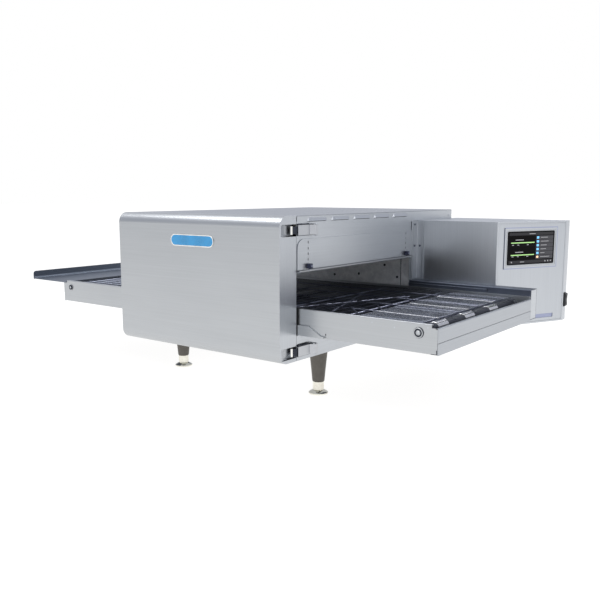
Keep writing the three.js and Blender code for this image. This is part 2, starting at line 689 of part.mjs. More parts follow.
function powerSwitch() {
  const middle = (SWITCH.bottom + SWITCH.top) / 2;
  const half = (SWITCH.top - SWITCH.bottom) / 2;
  const shape = outline([
    [SWITCH_RIGHT - 1.5, middle - half], [SWITCH_RIGHT - 3, middle], [SWITCH_RIGHT, middle + half],
    [610, middle + half - 2], [604, middle], [610, middle - half + 2],
  ]);
  return alongY(shape, SWITCH.front, SWITCH.rear);
}

function controllerBoard() {
  const board = box(300, 480, 800, 802, 190, 370);
  const relays = [320, 360, 400].map((x) => box(x, x + 26, 782, 801, 210, 240));
  return join(board, ...relays, box(330, 440, 790, 801, 290, 340));
}

function powerInlet() {
  return turned([[0, -6], [9, -6], [9, 4], [14, 4], [14, 12], [10, 18], [0, 18]], 12);
}

// ---- Legs ----
const FOOT_TOP = 31;
const STEM = { radius: 5, top: 66, boreRadius: 5.6, boreTop: 72 };

// A tapered leg, bored from below for the foot's stem.
function leg() {
  const top = BODY_BOTTOM - GAP;
  const { boreRadius, boreTop } = STEM;
  const bottom = FOOT_TOP + GAP;
  return turned(
    [[0, boreTop], [boreRadius, boreTop], [boreRadius, bottom], [15, bottom], [23, top], [0, top]],
    16,
  );
}

function foot() {
  const { radius, top } = STEM;
  return turned(
    [[0, 0], [24.5, 0], [24.5, 6], [14, 12], [14, FOOT_TOP], [radius, FOOT_TOP], [radius, top], [0, top]],
    16,
  );
}

// ---- Assembly ----
addPiece("base_pan", basePan(), darkSteel);
addPiece("top_panel", topPanel(), brushed);
addPiece("right_side_panel", rightSidePanel(), brushed);
addPiece("left_side_panel", mirrored(rightSidePanel()), brushed);
addPiece("rear_panel", rearPanel(), brushed);

addPiece("chamber_liner", chamberLiner(), darkSteel);
addPiece("top_insulation", box(-262, 262, 64, 600, LINER_TOP + GAP, 423.5), wool);
addPiece("upper_jet_plate", jetPlate(318, 399.7, 315, 322), darkSteel);
addPiece("lower_jet_plate", jetPlate(114.3, 162, 158, 165), darkSteel);
addPiece("heating_element", heatingElement(), darkSteel);
for (const [side, x] of [["left", -FAN_X], ["right", FAN_X]]) {
  addPiece(side + "_blower_wheel", blowerWheel(), darkSteel, x, FAN_Y, FAN_Z);
  addPiece(side + "_blower_motor", blowerMotor(), motorGrey, x, 659.5, FAN_Z);
}

addPiece("front_cover", frontCover(), brushed);
addPiece("front_cover_liner", frontCoverLiner(), darkSteel);
addPiece("front_badge", frontBadge(), enamelBlue);
for (const [level, height] of Object.entries(LATCH_HEIGHTS)) {
  addPiece("right_" + level + "_latch", latchLever(), brushed, 0, 0, height);
  addPiece("left_" + level + "_latch", mirrored(latchLever()), brushed, 0, 0, height);
}

addPiece("right_baffle_plate", rightBafflePlate(), brushed);
addPiece("left_baffle_plate", mirrored(rightBafflePlate()), brushed);
for (const [place, y] of Object.entries(KNOB_Y)) {
  const seat = HALF_WIDTH + BAFFLE_STANDOFF + SHEET + GAP;
  addPiece("right_" + place + "_knob", baffleKnob(), black, seat, y, KNOB_Z).rotation.z = -Math.PI / 2;
  addPiece("left_" + place + "_knob", baffleKnob(), black, -seat, y, KNOB_Z).rotation.z = Math.PI / 2;
}

addPiece("front_rail", frontRail(), brushed);
addPiece("rear_rail", rearRail(), brushed);
addPiece("right_end_plate", endPlate(), brushed);
addPiece("left_end_plate", mirrored(endPlate()), brushed);
addPiece("right_crumb_pan", crumbPan(), brushed);
addPiece("left_crumb_pan", mirrored(crumbPan()), brushed);
addPiece("belt_support_rack", beltSupportRack(), darkSteel);
addPiece("wire_belt", wireBelt(), polished);
addPiece("drive_shaft", sprocketShaft(600), polished, DRIVE_SHAFT_X, 0, SHAFT_Z);
addPiece("idler_shaft", sprocketShaft(576), polished, IDLER_SHAFT_X, 0, SHAFT_Z);
addPiece("right_front_bearing", bearing(), darkSteel, DRIVE_SHAFT_X, 0, SHAFT_Z);
addPiece("left_front_bearing", bearing(), darkSteel, IDLER_SHAFT_X, 0, SHAFT_Z);
addPiece("right_support_bracket", supportBracket(), brushed);
addPiece("left_support_bracket", mirrored(supportBracket()), brushed);
addPiece("left_exit_tray", leftExitTray(), brushed);

addPiece("chain_cover", chainCover(), brushed);
addPiece("drive_chain", driveChain(), darkSteel);
addPiece("motor_sprocket", motorSprocket(), darkSteel, MOTOR_X, 0, SHAFT_Z);
addPiece("drive_motor", driveMotor(), motorGrey, MOTOR_X, 0, SHAFT_Z);

addPiece("control_box", controlBox(), brushed);
addPiece("control_face_panel", controlFacePanel(), brushed);
addPiece("touch_screen", touchScreen(), black);
addPiece("power_switch", powerSwitch(), black);
addPiece("controller_board", controllerBoard(), boardGreen);
addPiece("power_inlet", powerInlet(), black, INLET.x, BODY_REAR + GAP - 4, INLET.z);

for (const [end, y] of [["front", FRONT_LEG_Y], ["rear", REAR_LEG_Y]]) {
  for (const [side, x] of [["left", -LEG_X], ["right", LEG_X]]) {
    addPiece(end + "_" + side + "_leg", leg(), legPaint, x, y, 0).rotation.x = Math.PI / 2;
    addPiece(end + "_" + side + "_foot", foot(), polished, x, y, 0).rotation.x = Math.PI / 2;
  }
}

// The origin is under the middle of the footprint, on the worktop.
oven.position.set(-(TRAY_END + SWITCH_RIGHT) / 2, -(BADGE_FRONT + CONTROL_REAR) / 2, 0);

const root = new THREE.Group();
root.add(oven);
export default root;
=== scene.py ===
import math

import bmesh
import bpy
from mathutils import Matrix, Vector


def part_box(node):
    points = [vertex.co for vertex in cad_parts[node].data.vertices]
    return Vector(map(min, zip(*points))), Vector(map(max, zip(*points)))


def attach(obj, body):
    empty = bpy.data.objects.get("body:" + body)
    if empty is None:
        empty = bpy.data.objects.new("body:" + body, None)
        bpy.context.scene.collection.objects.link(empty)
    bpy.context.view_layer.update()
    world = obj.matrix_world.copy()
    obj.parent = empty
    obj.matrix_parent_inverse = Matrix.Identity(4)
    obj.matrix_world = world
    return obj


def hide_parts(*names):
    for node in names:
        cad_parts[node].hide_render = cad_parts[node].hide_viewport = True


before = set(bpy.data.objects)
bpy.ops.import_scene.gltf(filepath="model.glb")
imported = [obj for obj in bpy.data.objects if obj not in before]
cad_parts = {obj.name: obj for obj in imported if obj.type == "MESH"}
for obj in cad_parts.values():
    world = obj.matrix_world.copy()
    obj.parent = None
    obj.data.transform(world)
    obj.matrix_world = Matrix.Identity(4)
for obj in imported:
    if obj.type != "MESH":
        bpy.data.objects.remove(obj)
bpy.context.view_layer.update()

# The oven is drawn in millimetres, from the middle of its cabinet, the front cover's outer face and
# the worktop.
cover_lo, cover_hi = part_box("front_cover")
ORIGIN = Vector(((cover_lo.x + cover_hi.x) / 2, cover_lo.y, 0))
MM = 0.001

SHEET = 1.5  # sheet metal thickness
COVER_RADIUS = 25
LATCH_HEIGHTS = {"upper": 405.5, "lower": 129.5}
LATCH_PIVOT = (280, 118)  # x and y of the latches' upright pins
KNOB_Y = {"front": 101, "rear": 549}
KNOB_Z = 323
SHAFT_Z = 209.6
SHAFT_X = {"right": 575, "left": -585}
MOTOR_X = 450
BELT_RADIUS = 14.3  # from the shafts' axes to the middle of the belt's wires
BELT_PITCH = 9.0
BELT_SHAFT_RADIUS = 5
CHAIN_RADIUS = 21.2
CHAIN_LINKS = 44


def span(node):
    """A CAD node's lowest and highest corners in the drawing's millimetres."""
    lo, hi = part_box(node)
    return (lo - ORIGIN) / MM, (hi - ORIGIN) / MM


SKIN = span("front_cover")[1].x  # the plane of the cabinet's right side


# ---- Outlines ----
def arc(cx, cy, radius, start, end, steps):
    """Points on an arc, angles in degrees."""
    return [
        (cx + radius * math.cos(math.radians(start + (end - start) * i / steps)),
         cy + radius * math.sin(math.radians(start + (end - start) * i / steps)))
        for i in range(steps + 1)
    ]


def rounded(points, radii, steps=6, closed=True):
    """The same outline with each corner replaced by a smooth curve that starts as far off as an arc of
    the given radius would."""
    if not isinstance(radii, (list, tuple)):
        radii = [radii] * len(points)
    made = []
    count = len(points)
    for i, (point, radius) in enumerate(zip(points, radii)):
        corner = Vector(point)
        if radius <= 0 or (not closed and i in (0, count - 1)):
            made.append(corner)
            continue
        before = Vector(points[i - 1]) - corner
        after = Vector(points[(i + 1) % count]) - corner
        half = before.angle(after) / 2
        reach = min(radius / math.tan(half), before.length * 0.49, after.length * 0.49)
        start = corner + before.normalized() * reach
        end = corner + after.normalized() * reach
        for k in range(steps + 1):
            t = k / steps
            made.append((1 - t) ** 2 * start + 2 * t * (1 - t) * corner + t * t * end)
    return [(p.x, p.y) for p in made]


def folded(path, thickness, radius):
    """The outline of a sheet bent along an open path; the sheet lies to the left of the path."""
    line = [Vector(p) for p in rounded(path, radius, 5, closed=False)]
    left = []
    for i, point in enumerate(line):
        ahead = (line[min(i + 1, len(line) - 1)] - line[max(i - 1, 0)]).normalized()
        left.append(point + Vector((-ahead.y, ahead.x)) * thickness)
    return [(p.x, p.y) for p in line] + [(p.x, p.y) for p in reversed(left)]


def rectangle(x0, x1, y0, y1, radius, steps):
    """A rectangular outline with rounded corners."""
    return rounded([(x0, y0), (x1, y0), (x1, y1), (x0, y1)], radius, steps)


def pill(x0, x1, middle, radius):
    """A level slot's outline, between the centres of its round ends."""
    return arc(x1, middle, radius, -90, 90, 20) + arc(x0, middle, radius, 90, 270, 20)


def pill_z(y, z, radius, half):
    """An upright slot's outline in (y, z)."""
    return arc(y, z + half, radius, 0, 180, 8) + arc(y, z - half, radius, 180, 360, 8)


# ---- Solids, as bmesh ----
AXES = {"x": (1, 2, 0), "y": (0, 2, 1), "z": (0, 1, 2)}


def placed(axis, a, b, along):
    """A point given by its two coordinates in an outline and its place along the axis."""
    first, second, third = AXES[axis]
    point = [0, 0, 0]
    point[first], point[second], point[third] = a, b, along
    return point


def prism(axis, outline, start, end):
    """An outline extruded along an axis; it is (y, z) along x, (x, z) along y and (x, y) along z."""
    bm = bmesh.new()
    near = [bm.verts.new(placed(axis, a, b, start)) for a, b in outline]
    far = [bm.verts.new(placed(axis, a, b, end)) for a, b in outline]
    count = len(outline)
    bm.faces.new(near)
    bm.faces.new(list(reversed(far)))
    for i in range(count):
        bm.faces.new([near[i], far[i], far[(i + 1) % count], near[(i + 1) % count]])
    bmesh.ops.recalc_face_normals(bm, faces=bm.faces)
    return bm


def box(x0, x1, y0, y1, z0, z1):
    return prism("z", [(x0, y0), (x1, y0), (x1, y1), (x0, y1)], z0, z1)


def slab(axis, a0, a1, b0, b1, start, end, radius, steps=6):
    """A block from start to end along an axis, with rounded corners in its outline."""
    return prism(axis, rectangle(a0, a1, b0, b1, radius, steps), start, end)


def around(axis, centre, radius, along, angle):
    """A point by its radius and angle about an axis through centre, and its distance along it."""
    step = placed(axis, radius * math.cos(angle), radius * math.sin(angle), along)
    return [c + p for c, p in zip(centre, step)]


def turned(axis, profile, centre, segments=32):
    """A (radius, distance) profile turned about an axis through centre, and closed at its ends."""
    bm = bmesh.new()
    rings = []
    for radius, along in profile:
        steps = segments if radius > 1e-6 else 1
        rings.append([
            bm.verts.new(around(axis, centre, radius, along, 2 * math.pi * k / segments))
            for k in range(steps)])
    for a, b in zip(rings, rings[1:]):
        for k in range(segments):
            n = (k + 1) % segments
            corners = [a[k % len(a)], a[n % len(a)], b[n % len(b)], b[k % len(b)]]
            unique = list(dict.fromkeys(corners))
            if len(unique) > 2:
                bm.faces.new(unique)
    for end in (rings[0], rings[-1]):
        if len(end) > 2:
            bm.faces.new(end)
    bmesh.ops.recalc_face_normals(bm, faces=bm.faces)
    return bm


def rod(axis, radius, start, end, centre, segments=32):
    """A plain cylinder about an axis through centre."""
    return turned(axis, [(0, start), (radius, start), (radius, end), (0, end)], centre, segments)


def ring(axis, profile, centre, segments):
    """A closed (radius, distance) profile that doesn't touch the axis, turned into a ring."""
    bm = bmesh.new()
    loops = [
        [bm.verts.new(around(axis, centre, radius, along, 2 * math.pi * k / segments))
         for radius, along in profile]
        for k in range(segments)
    ]
    for k in range(segments):
        a, b = loops[k], loops[(k + 1) % segments]
        for i in range(len(profile)):
            n = (i + 1) % len(profile)
            bm.faces.new([a[i], a[n], b[n], b[i]])
    bmesh.ops.recalc_face_normals(bm, faces=bm.faces)
    return bm


def tube(points, radius, sides):
    """A round wire that follows the points, closed at both ends."""
    bm = bmesh.new()
    line = [Vector(p) for p in points]
    rings = []
    normal = None
    for i, point in enumerate(line):
        ahead = (line[min(i + 1, len(line) - 1)] - line[max(i - 1, 0)]).normalized()
        if normal is None:
            normal = ahead.orthogonal().normalized()
        normal = (normal - ahead * normal.dot(ahead)).normalized()
        side = ahead.cross(normal)
        rings.append([
            bm.verts.new(point + radius * (
                normal * math.cos(2 * math.pi * k / sides) + side * math.sin(2 * math.pi * k / sides)))
            for k in range(sides)
        ])
    for a, b in zip(rings, rings[1:]):
        for k in range(sides):
            n = (k + 1) % sides
            bm.faces.new([a[k], a[n], b[n], b[k]])
    bm.faces.new(list(reversed(rings[0])))
    bm.faces.new(rings[-1])
    return bm


def merged(*solids):
    """One bmesh that holds all the solids."""
    whole = bmesh.new()
    for solid in solids:
        mesh = bpy.data.meshes.new("part")
        solid.to_mesh(mesh)
        solid.free()
        whole.from_mesh(mesh)
        bpy.data.meshes.remove(mesh)
    return whole


def shown(name, data):
    """A new object in the scene."""
    obj = bpy.data.objects.new(name, data)
    bpy.context.scene.collection.objects.link(obj)
    return obj


def temporary(bm):
    mesh = bpy.data.meshes.new("temporary")
    bm.to_mesh(mesh)
    bm.free()
    return shown("temporary", mesh)


def cut(solid, *tools):
    """The solid with the tools cut out of it."""
    target = temporary(solid)
    cutter = temporary(merged(*tools))
    modifier = target.modifiers.new("cut", "BOOLEAN")
    modifier.operation = "DIFFERENCE"
    modifier.solver = "EXACT"
    modifier.use_self = True
    modifier.object = cutter
    evaluated = target.evaluated_get(bpy.context.evaluated_depsgraph_get())
    result = bmesh.new()
    result.from_mesh(evaluated.to_mesh())
    evaluated.to_mesh_clear()
    for obj in (target, cutter):
        mesh = obj.data
        bpy.data.objects.remove(obj)
        bpy.data.meshes.remove(mesh)
    bmesh.ops.remove_doubles(result, verts=result.verts, dist=1e-4)
    bmesh.ops.dissolve_limit(
        result, angle_limit=math.radians(0.5), verts=result.verts, edges=result.edges)
    return result


def softened(solid, width, segments=2, angle=28):
    """The solid with its sharp edges rounded."""
    limit = math.radians(angle)
    edges = [e for e in solid.edges if len(e.link_faces) == 2 and e.calc_face_angle(0) > limit]
    bmesh.ops.bevel(
        solid, geom=edges, offset=width, segments=segments, profile=0.5, affect="EDGES",
        clamp_overlap=True)
    return solid


def mirrored(solid):
    """The solid mirrored to the other side of the cabinet."""
    bmesh.ops.scale(solid, vec=(-1, 1, 1), verts=solid.verts)
    bmesh.ops.reverse_faces(solid, faces=solid.faces)
    return solid


def turned_about_z(solid, degrees, offset):
    """The solid turned about the vertical axis and then moved."""
    matrix = Matrix.Translation(offset) @ Matrix.Rotation(math.radians(degrees), 4, "Z")
    bmesh.ops.transform(solid, matrix=matrix, verts=solid.verts)
    return solid


def piece(name, body, parts, replaces=(), smooth=32, side="right"):
    """One object made of parts, riding on a body. A part is a solid or a list of solids, its material,
    and how its edges are softened, if they are. Parts for the left side are drawn for the right."""
    mesh = bpy.data.meshes.new(name)
    solids = []
    for index, (solid, material, *edges) in enumerate(parts):
        if isinstance(solid, list):
            solid = merged(*solid)
        if edges:
            softened(solid, *edges)
        if side == "left":
            mirrored(solid)
        for face in solid.faces:
            face.material_index = index
        mesh.materials.append(material)
        solids.append(solid)
    whole = merged(*solids)
    bmesh.ops.transform(
        whole, matrix=Matrix.Translation(ORIGIN) @ Matrix.Scale(MM, 4), verts=whole.verts)
    whole.to_mesh(mesh)
    whole.free()
    mesh.shade_smooth()
    mesh.set_sharp_from_angle(angle=math.radians(smooth))
    obj = shown(name, mesh)
    normals = obj.modifiers.new("normals", "WEIGHTED_NORMAL")
    normals.keep_sharp = True
    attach(obj, body)
    if replaces:
        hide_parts(*replaces)
    return obj


def dress(node, material, width=0.4):
    """A CAD node that stays, with a finish and slightly rounded edges."""
    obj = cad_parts[node]
    obj.data.materials.clear()
    obj.data.materials.append(material)
    weld = obj.modifiers.new("weld", "WELD")
    weld.merge_threshold = 1e-5
    if width:
        bevel = obj.modifiers.new("edges", "BEVEL")
        bevel.width = width * MM
        bevel.segments = 2
        bevel.limit_method = "ANGLE"
        bevel.angle_limit = math.radians(32)


# ---- Materials ----
def fed(tree, node, inputs):
    """The node with its inputs set to values, or linked to other nodes' outputs."""
    for name, value in inputs.items():
        if isinstance(value, bpy.types.NodeSocket):
            tree.links.new(value, node.inputs[name])
        else:
            node.inputs[name].default_value = value
    return node


def added_node(tree, kind, inputs=None):
    return fed(tree, tree.nodes.new("ShaderNode" + kind), inputs or {})


def new_material(name, colour, metallic, roughness, coat=0.0):
    material = bpy.data.materials.new(name)
    material.use_nodes = True
    tree = material.node_tree
    shader = fed(tree, tree.nodes["Principled BSDF"], {
        "Base Color": (*colour, 1), "Metallic": metallic, "Roughness": roughness, "Coat Weight": coat})
    return material, tree, shader


def noise(tree, scale, detail, stretch=(1, 1, 1), rough=0.5):
    """A noise texture fixed to the object, stretched by axis."""
    where = added_node(tree, "TexCoord")
    mapping = added_node(tree, "Mapping", {"Vector": where.outputs["Object"], "Scale": stretch})
    texture = added_node(tree, "TexNoise", {
        "Vector": mapping.outputs["Vector"], "Scale": scale, "Detail": detail, "Roughness": rough})
    return texture.outputs["Fac"]


def remapped(tree, value, low, high):
    """A noise value's middle range, spread from low to high."""
    return added_node(tree, "MapRange", {
        "Value": value, "From Min": 0.3, "From Max": 0.7, "To Min": low, "To Max": high,
    }).outputs["Result"]


def scaled(colour, factor):
    return tuple(min(1.0, c * factor) for c in colour)


def tinted(tree, value, dark, light):
    """A colour between dark and light, by the value."""
    ramp = added_node(tree, "ValToRGB", {"Fac": value})
    for element, position, colour in zip(ramp.color_ramp.elements, (0.25, 0.75), (dark, light)):
        element.position = position
        element.color = (*colour, 1)
    return ramp.outputs["Color"]


def bumped(tree, shader, height, strength, distance):
    bump = added_node(tree, "Bump", {"Height": height, "Strength": strength, "Distance": distance})
    fed(tree, shader, {"Normal": bump.outputs["Normal"]})


GRAIN = {"x": (0.012, 1, 1), "y": (1, 0.012, 1), "z": (1, 1, 0.012)}


def brushed(name, along, colour, roughness, strength=0.07, spread=0.035):
    """Brushed sheet metal: fine grain along one axis, with broad handling marks in the gloss."""
    material, tree, shader = new_material(name, colour, 1.0, roughness)
    fine = noise(tree, 1400, 3, GRAIN[along], 0.6)
    coarse = noise(tree, 420, 2, GRAIN[along], 0.5)
    marks = noise(tree, 5, 4, (1, 1, 1), 0.6)
    grain = remapped(tree, fine, roughness - spread, roughness + spread)
    total = added_node(tree, "Math", {0: grain, 1: remapped(tree, marks, -0.02, 0.03)})
    total.operation = "ADD"
    fed(tree, shader, {
        "Base Color": tinted(tree, coarse, scaled(colour, 0.965), scaled(colour, 1.03)),
        "Roughness": total.outputs["Value"],
    })
    bumped(tree, shader, fine, strength, 0.00006)
    return material


def plain_metal(name, colour, roughness, scale=60, strength=0.1, metallic=1.0):
    """Metal with a mottled gloss and fine pitting, for cast, drawn and heat-darkened pieces."""
    material, tree, shader = new_material(name, colour, metallic, roughness)
    mottle = noise(tree, scale, 5, (1, 1, 1), 0.6)
    pits = noise(tree, scale * 18, 3, (1, 1, 1), 0.6)
    fed(tree, shader, {
        "Base Color": tinted(tree, mottle, scaled(colour, 0.75), scaled(colour, 1.15)),
        "Roughness": remapped(tree, mottle, max(0.05, roughness - 0.09), roughness + 0.09),
    })
    bumped(tree, shader, pits, strength, 0.00008)
    return material


def plastic(name, colour, roughness, scale=1400, strength=0.12, coat=0.0):
    """Moulded plastic or enamel with a fine surface texture."""
    material, tree, shader = new_material(name, colour, 0.0, roughness, coat)
    cloud = noise(tree, 40, 4)
    fed(tree, shader, {
        "Base Color": tinted(tree, cloud, scaled(colour, 0.85), scaled(colour, 1.15)),
        "Roughness": remapped(tree, cloud, roughness - 0.05, roughness + 0.07),
    })
    bumped(tree, shader, noise(tree, scale, 2), strength, 0.00005)
    return material


def display(name, colour, glow):
    """A lit area on the screen, faintly uneven as a backlight is."""
    material, tree, shader = new_material(name, colour, 0.0, 0.3)
    uneven = tinted(tree, noise(tree, 30, 2), scaled(colour, 0.9), colour)
    fed(tree, shader, {
        "Specular IOR Level": 0.04, "Base Color": uneven, "Emission Color": uneven,
        "Emission Strength": glow,
    })
    return material


def insulation(name):
    """Mineral wool: matt, matted fibres."""
    material, tree, shader = new_material(name, (0.28, 0.26, 0.22), 0.0, 0.95)
    fibres = noise(tree, 380, 6, (1, 0.3, 1), 0.7)
    fed(tree, shader, {"Base Color": tinted(tree, fibres, (0.20, 0.185, 0.15), (0.36, 0.34, 0.29))})
    bumped(tree, shader, fibres, 0.7, 0.001)
    return material


STEEL = (0.525, 0.548, 0.578)
# The x grain steel below is a darker copy of the plain steel: painted shade, for faces turned to the front
# and rear, such as the cover's front.
shaded_steel_x = brushed("steel_grain_x_painted_shade", "x", (0.475, 0.492, 0.508), 0.34, 0.045, 0.028)
steel_y = brushed("steel_grain_y", "y", STEEL, 0.33)
steel_z = brushed("steel_grain_z", "z", STEEL, 0.33)
# The top's steel is a darker copy of the plain steel: painted shade on the flat top.
steel_top_painted_shade = brushed("steel_top_painted_shade", "x", (0.385, 0.405, 0.44), 0.29)
tray_steel = brushed("tray_steel", "y", (0.172, 0.196, 0.238), 0.42)
end_steel = brushed("end_steel", "y", (0.42, 0.442, 0.472), 0.34)
# A near black copy of the steel: painted shade on the chain cover in the corner by the control box, on the
# strip at the bezel's left and on the flange's screws.
painted_shade_steel = brushed("painted_shade_steel", "x", (0.125, 0.142, 0.182), 0.40)
pan_steel = brushed("pan_steel", "y", (0.07, 0.078, 0.10), 0.45)
# A lilac grey steel: painted shadow lines round the screen's bezel and in the slot.
shadow_line_steel = brushed("shadow_line", "x", (0.36, 0.39, 0.53), 0.40)
wall_steel = plain_metal("wall_steel", (0.86, 0.88, 0.91), 0.55, 60, 0.1, 0.35)
roller_chrome = plain_metal("roller_chrome", (0.70, 0.705, 0.72), 0.20, 40, 0.04)
# The bright rows of links are painted highlights: a much lighter steel than the other wires.
link_steel_painted_highlight = plain_metal("link_steel_painted_highlight", (0.86, 0.87, 0.90), 0.25, 120)
lever_steel = brushed("lever_steel", "y", (0.50, 0.515, 0.54), 0.31)
chamber_steel = plain_metal("chamber_steel", (0.20, 0.205, 0.215), 0.46)
rod_steel = plain_metal("rod_steel", (0.44, 0.46, 0.57), 0.33, 90)
# The belt's colours are painted light and shade: near black wires in the tunnel (painted shade) with
# lighter painted glints, and lighter wires outside the tunnel (painted light), lighter still at the right
# end.
belt_glint = plain_metal("belt_glint", (0.14, 0.15, 0.195), 0.36, 120)
belt_painted_shade = plain_metal("belt_painted_shade", (0.03, 0.034, 0.045), 0.40, 120)
belt_painted_light = plain_metal("belt_painted_light", (0.40, 0.43, 0.51), 0.38, 120)
belt_painted_bright_light = plain_metal("belt_painted_bright_light", (0.66, 0.67, 0.70), 0.28, 120)
polished = plain_metal("polished_steel", (0.90, 0.88, 0.84), 0.14, 40, 0.04)
foot_steel = plain_metal("foot_steel", (0.92, 0.87, 0.78), 0.20, 40, 0.04)
dark_metal = plain_metal("dark_metal", (0.05, 0.055, 0.07), 0.42, 80)
leg_paint = plain_metal("leg_paint", (0.13, 0.12, 0.105), 0.5, 70, 0.25, 0.35)
motor_paint = plain_metal("motor_paint", (0.06, 0.065, 0.075), 0.45, 70, 0.2, 0.5)
black_plastic = plastic("black_plastic", (0.014, 0.015, 0.018), 0.42)
knob_plastic = plastic("knob_plastic", (0.012, 0.016, 0.045), 0.38)
knob_face = plastic("knob_face", (0.20, 0.22, 0.30), 0.35)
glass = plastic("screen_glass", (0.004, 0.004, 0.005), 0.16, 300, 0.01)
glass.node_tree.nodes["Principled BSDF"].inputs["Specular IOR Level"].default_value = 0.08
enamel = plastic("badge_enamel", (0.03, 0.27, 0.55), 0.30, 300, 0.03, 0.2)
board_green = plastic("circuit_board", (0.02, 0.12, 0.06), 0.4)
wool = insulation("insulation_wool")
screen_bar = display("screen_bar", (0.030, 0.030, 0.032), 0.6)
screen_row = display("screen_row", (0.055, 0.055, 0.060), 0.6)
screen_panel = display("screen_panel", (0.004, 0.004, 0.004), 0.3)
screen_green = display("screen_green", (0.33, 0.56, 0.22), 0.75)
screen_blue = display("screen_blue", (0.17, 0.50, 0.86), 0.85)
screen_warm = display("screen_warm", (0.86, 0.56, 0.34), 0.85)
screen_mark = display("screen_mark", (0.32, 0.32, 0.33), 0.5)


# ---- Small hardware ----
def screw_head(axis, sign, centre, radius, height):
    """A pan head screw with a cross recess, standing on centre and facing sign along the axis."""
    profile = [(0, 0), (radius, 0), (radius, height * 0.45), (radius * 0.8, height * 0.85),
               (radius * 0.35, height), (0, height)]
    head = turned(axis, [(r, a * sign) for r, a in profile], centre, 20)
    slots = []
    for long_way in (True, False):
        a = radius * (0.58 if long_way else 0.12)
        b = radius * (0.12 if long_way else 0.58)
        x, y, z = centre
        low, high = sorted((height * 0.6 * sign, height * 1.3 * sign))
        limits = {
            "x": (x + low, x + high, y - a, y + a, z - b, z + b),
            "y": (x - a, x + a, y + low, y + high, z - b, z + b),
            "z": (x - a, x + a, y - b, y + b, z + low, z + high),
        }[axis]
        slots.append(box(*limits))
    return cut(head, *slots)


def rivet(axis, sign, centre, radius, height):
    """A low domed head, placed as a screw head is."""
    profile = [(0, 0), (radius, 0), (radius * 0.9, height * 0.5), (radius * 0.5, height * 0.92),
               (0, height)]
    return turned(axis, [(r, a * sign) for r, a in profile], centre, 18)


# ---- Front cover, badge and latches ----
def cover_profile(lo, hi, inset, rear):
    """The cover's outline from the side, inset from its outer faces, and as deep as the rear plane."""
    radius = COVER_RADIUS - inset
    top = hi.z - COVER_RADIUS
    bottom = lo.z + COVER_RADIUS
    return (
        [(rear, lo.z + inset), (rear, hi.z - inset)]
        + arc(COVER_RADIUS, top, radius, 90, 180, 18)
        + arc(COVER_RADIUS, bottom, radius, 180, 270, 18)
    )


def latch_pocket(hi, height, wall):
    """The recess beside one latch, cut into the right side of the cover; it deepens to the rear."""
    half = 13.5 + wall
    depth = 10 + wall
    outline = [
        (hi.x + 4, 0.5 - wall), (hi.x + 0.5, 4 - wall), (hi.x - depth, 39 - wall), (hi.x - depth, hi.y + 6),
        (hi.x + 4, hi.y + 6),
    ]
    return softened(prism("z", outline, height - half, height + half), 3.5, 4)


def front_cover():
    """A folded shell, open to the rear, with rounded front edges and a recess beside each latch."""
    lo, hi = span("front_cover")
    outer = prism("x", cover_profile(lo, hi, 0, hi.y), lo.x, hi.x)
    walls = []
    pockets = []
    for height in LATCH_HEIGHTS.values():
        for solids, wall in ((walls, SHEET), (pockets, 0)):
            solids.extend([latch_pocket(hi, height, wall), mirrored(latch_pocket(hi, height, wall))])
    hollow = prism("x", cover_profile(lo, hi, SHEET, hi.y + 5), lo.x + SHEET, hi.x - SHEET)
    shell = cut(cut(outer, cut(hollow, *walls)), *pockets)
    # The cover's front takes the darker, painted shade copy of the steel; its sides take the plain steel.
    cover = piece("cover_shell", "cover", [(shell, shaded_steel_x, 0.7, 3)], ["front_cover"])
    # The grain runs upright on the cover's sides.
    cover.data.materials.append(steel_z)
    for face in cover.data.polygons:
        if abs(face.normal.x) > 0.9:
            face.material_index = 1
    dress("front_cover_liner", chamber_steel)


def badge():
    """A plain enamel badge in a polished rim."""
    lo, hi = span("front_badge")
    radius = (hi.z - lo.z) / 2
    middle = (hi.z + lo.z) / 2
    reach = hi.x - radius
    plate = prism("y", pill(-reach, reach, middle, radius), lo.y + 0.4, hi.y)
    bezel = cut(
        prism("y", pill(-reach, reach, middle, radius), lo.y, lo.y + 0.6),
        prism("y", pill(-reach, reach, middle, radius - 2), lo.y - 1, lo.y + 2))
    inlay = prism("y", pill(-reach, reach, middle, radius - 2.2), lo.y + 0.1, lo.y + 0.6)
    piece("badge_plate", "cover", [
        (plate, polished), (bezel, polished, 0.15), (inlay, enamel, 0.2),
    ], ["front_badge"])


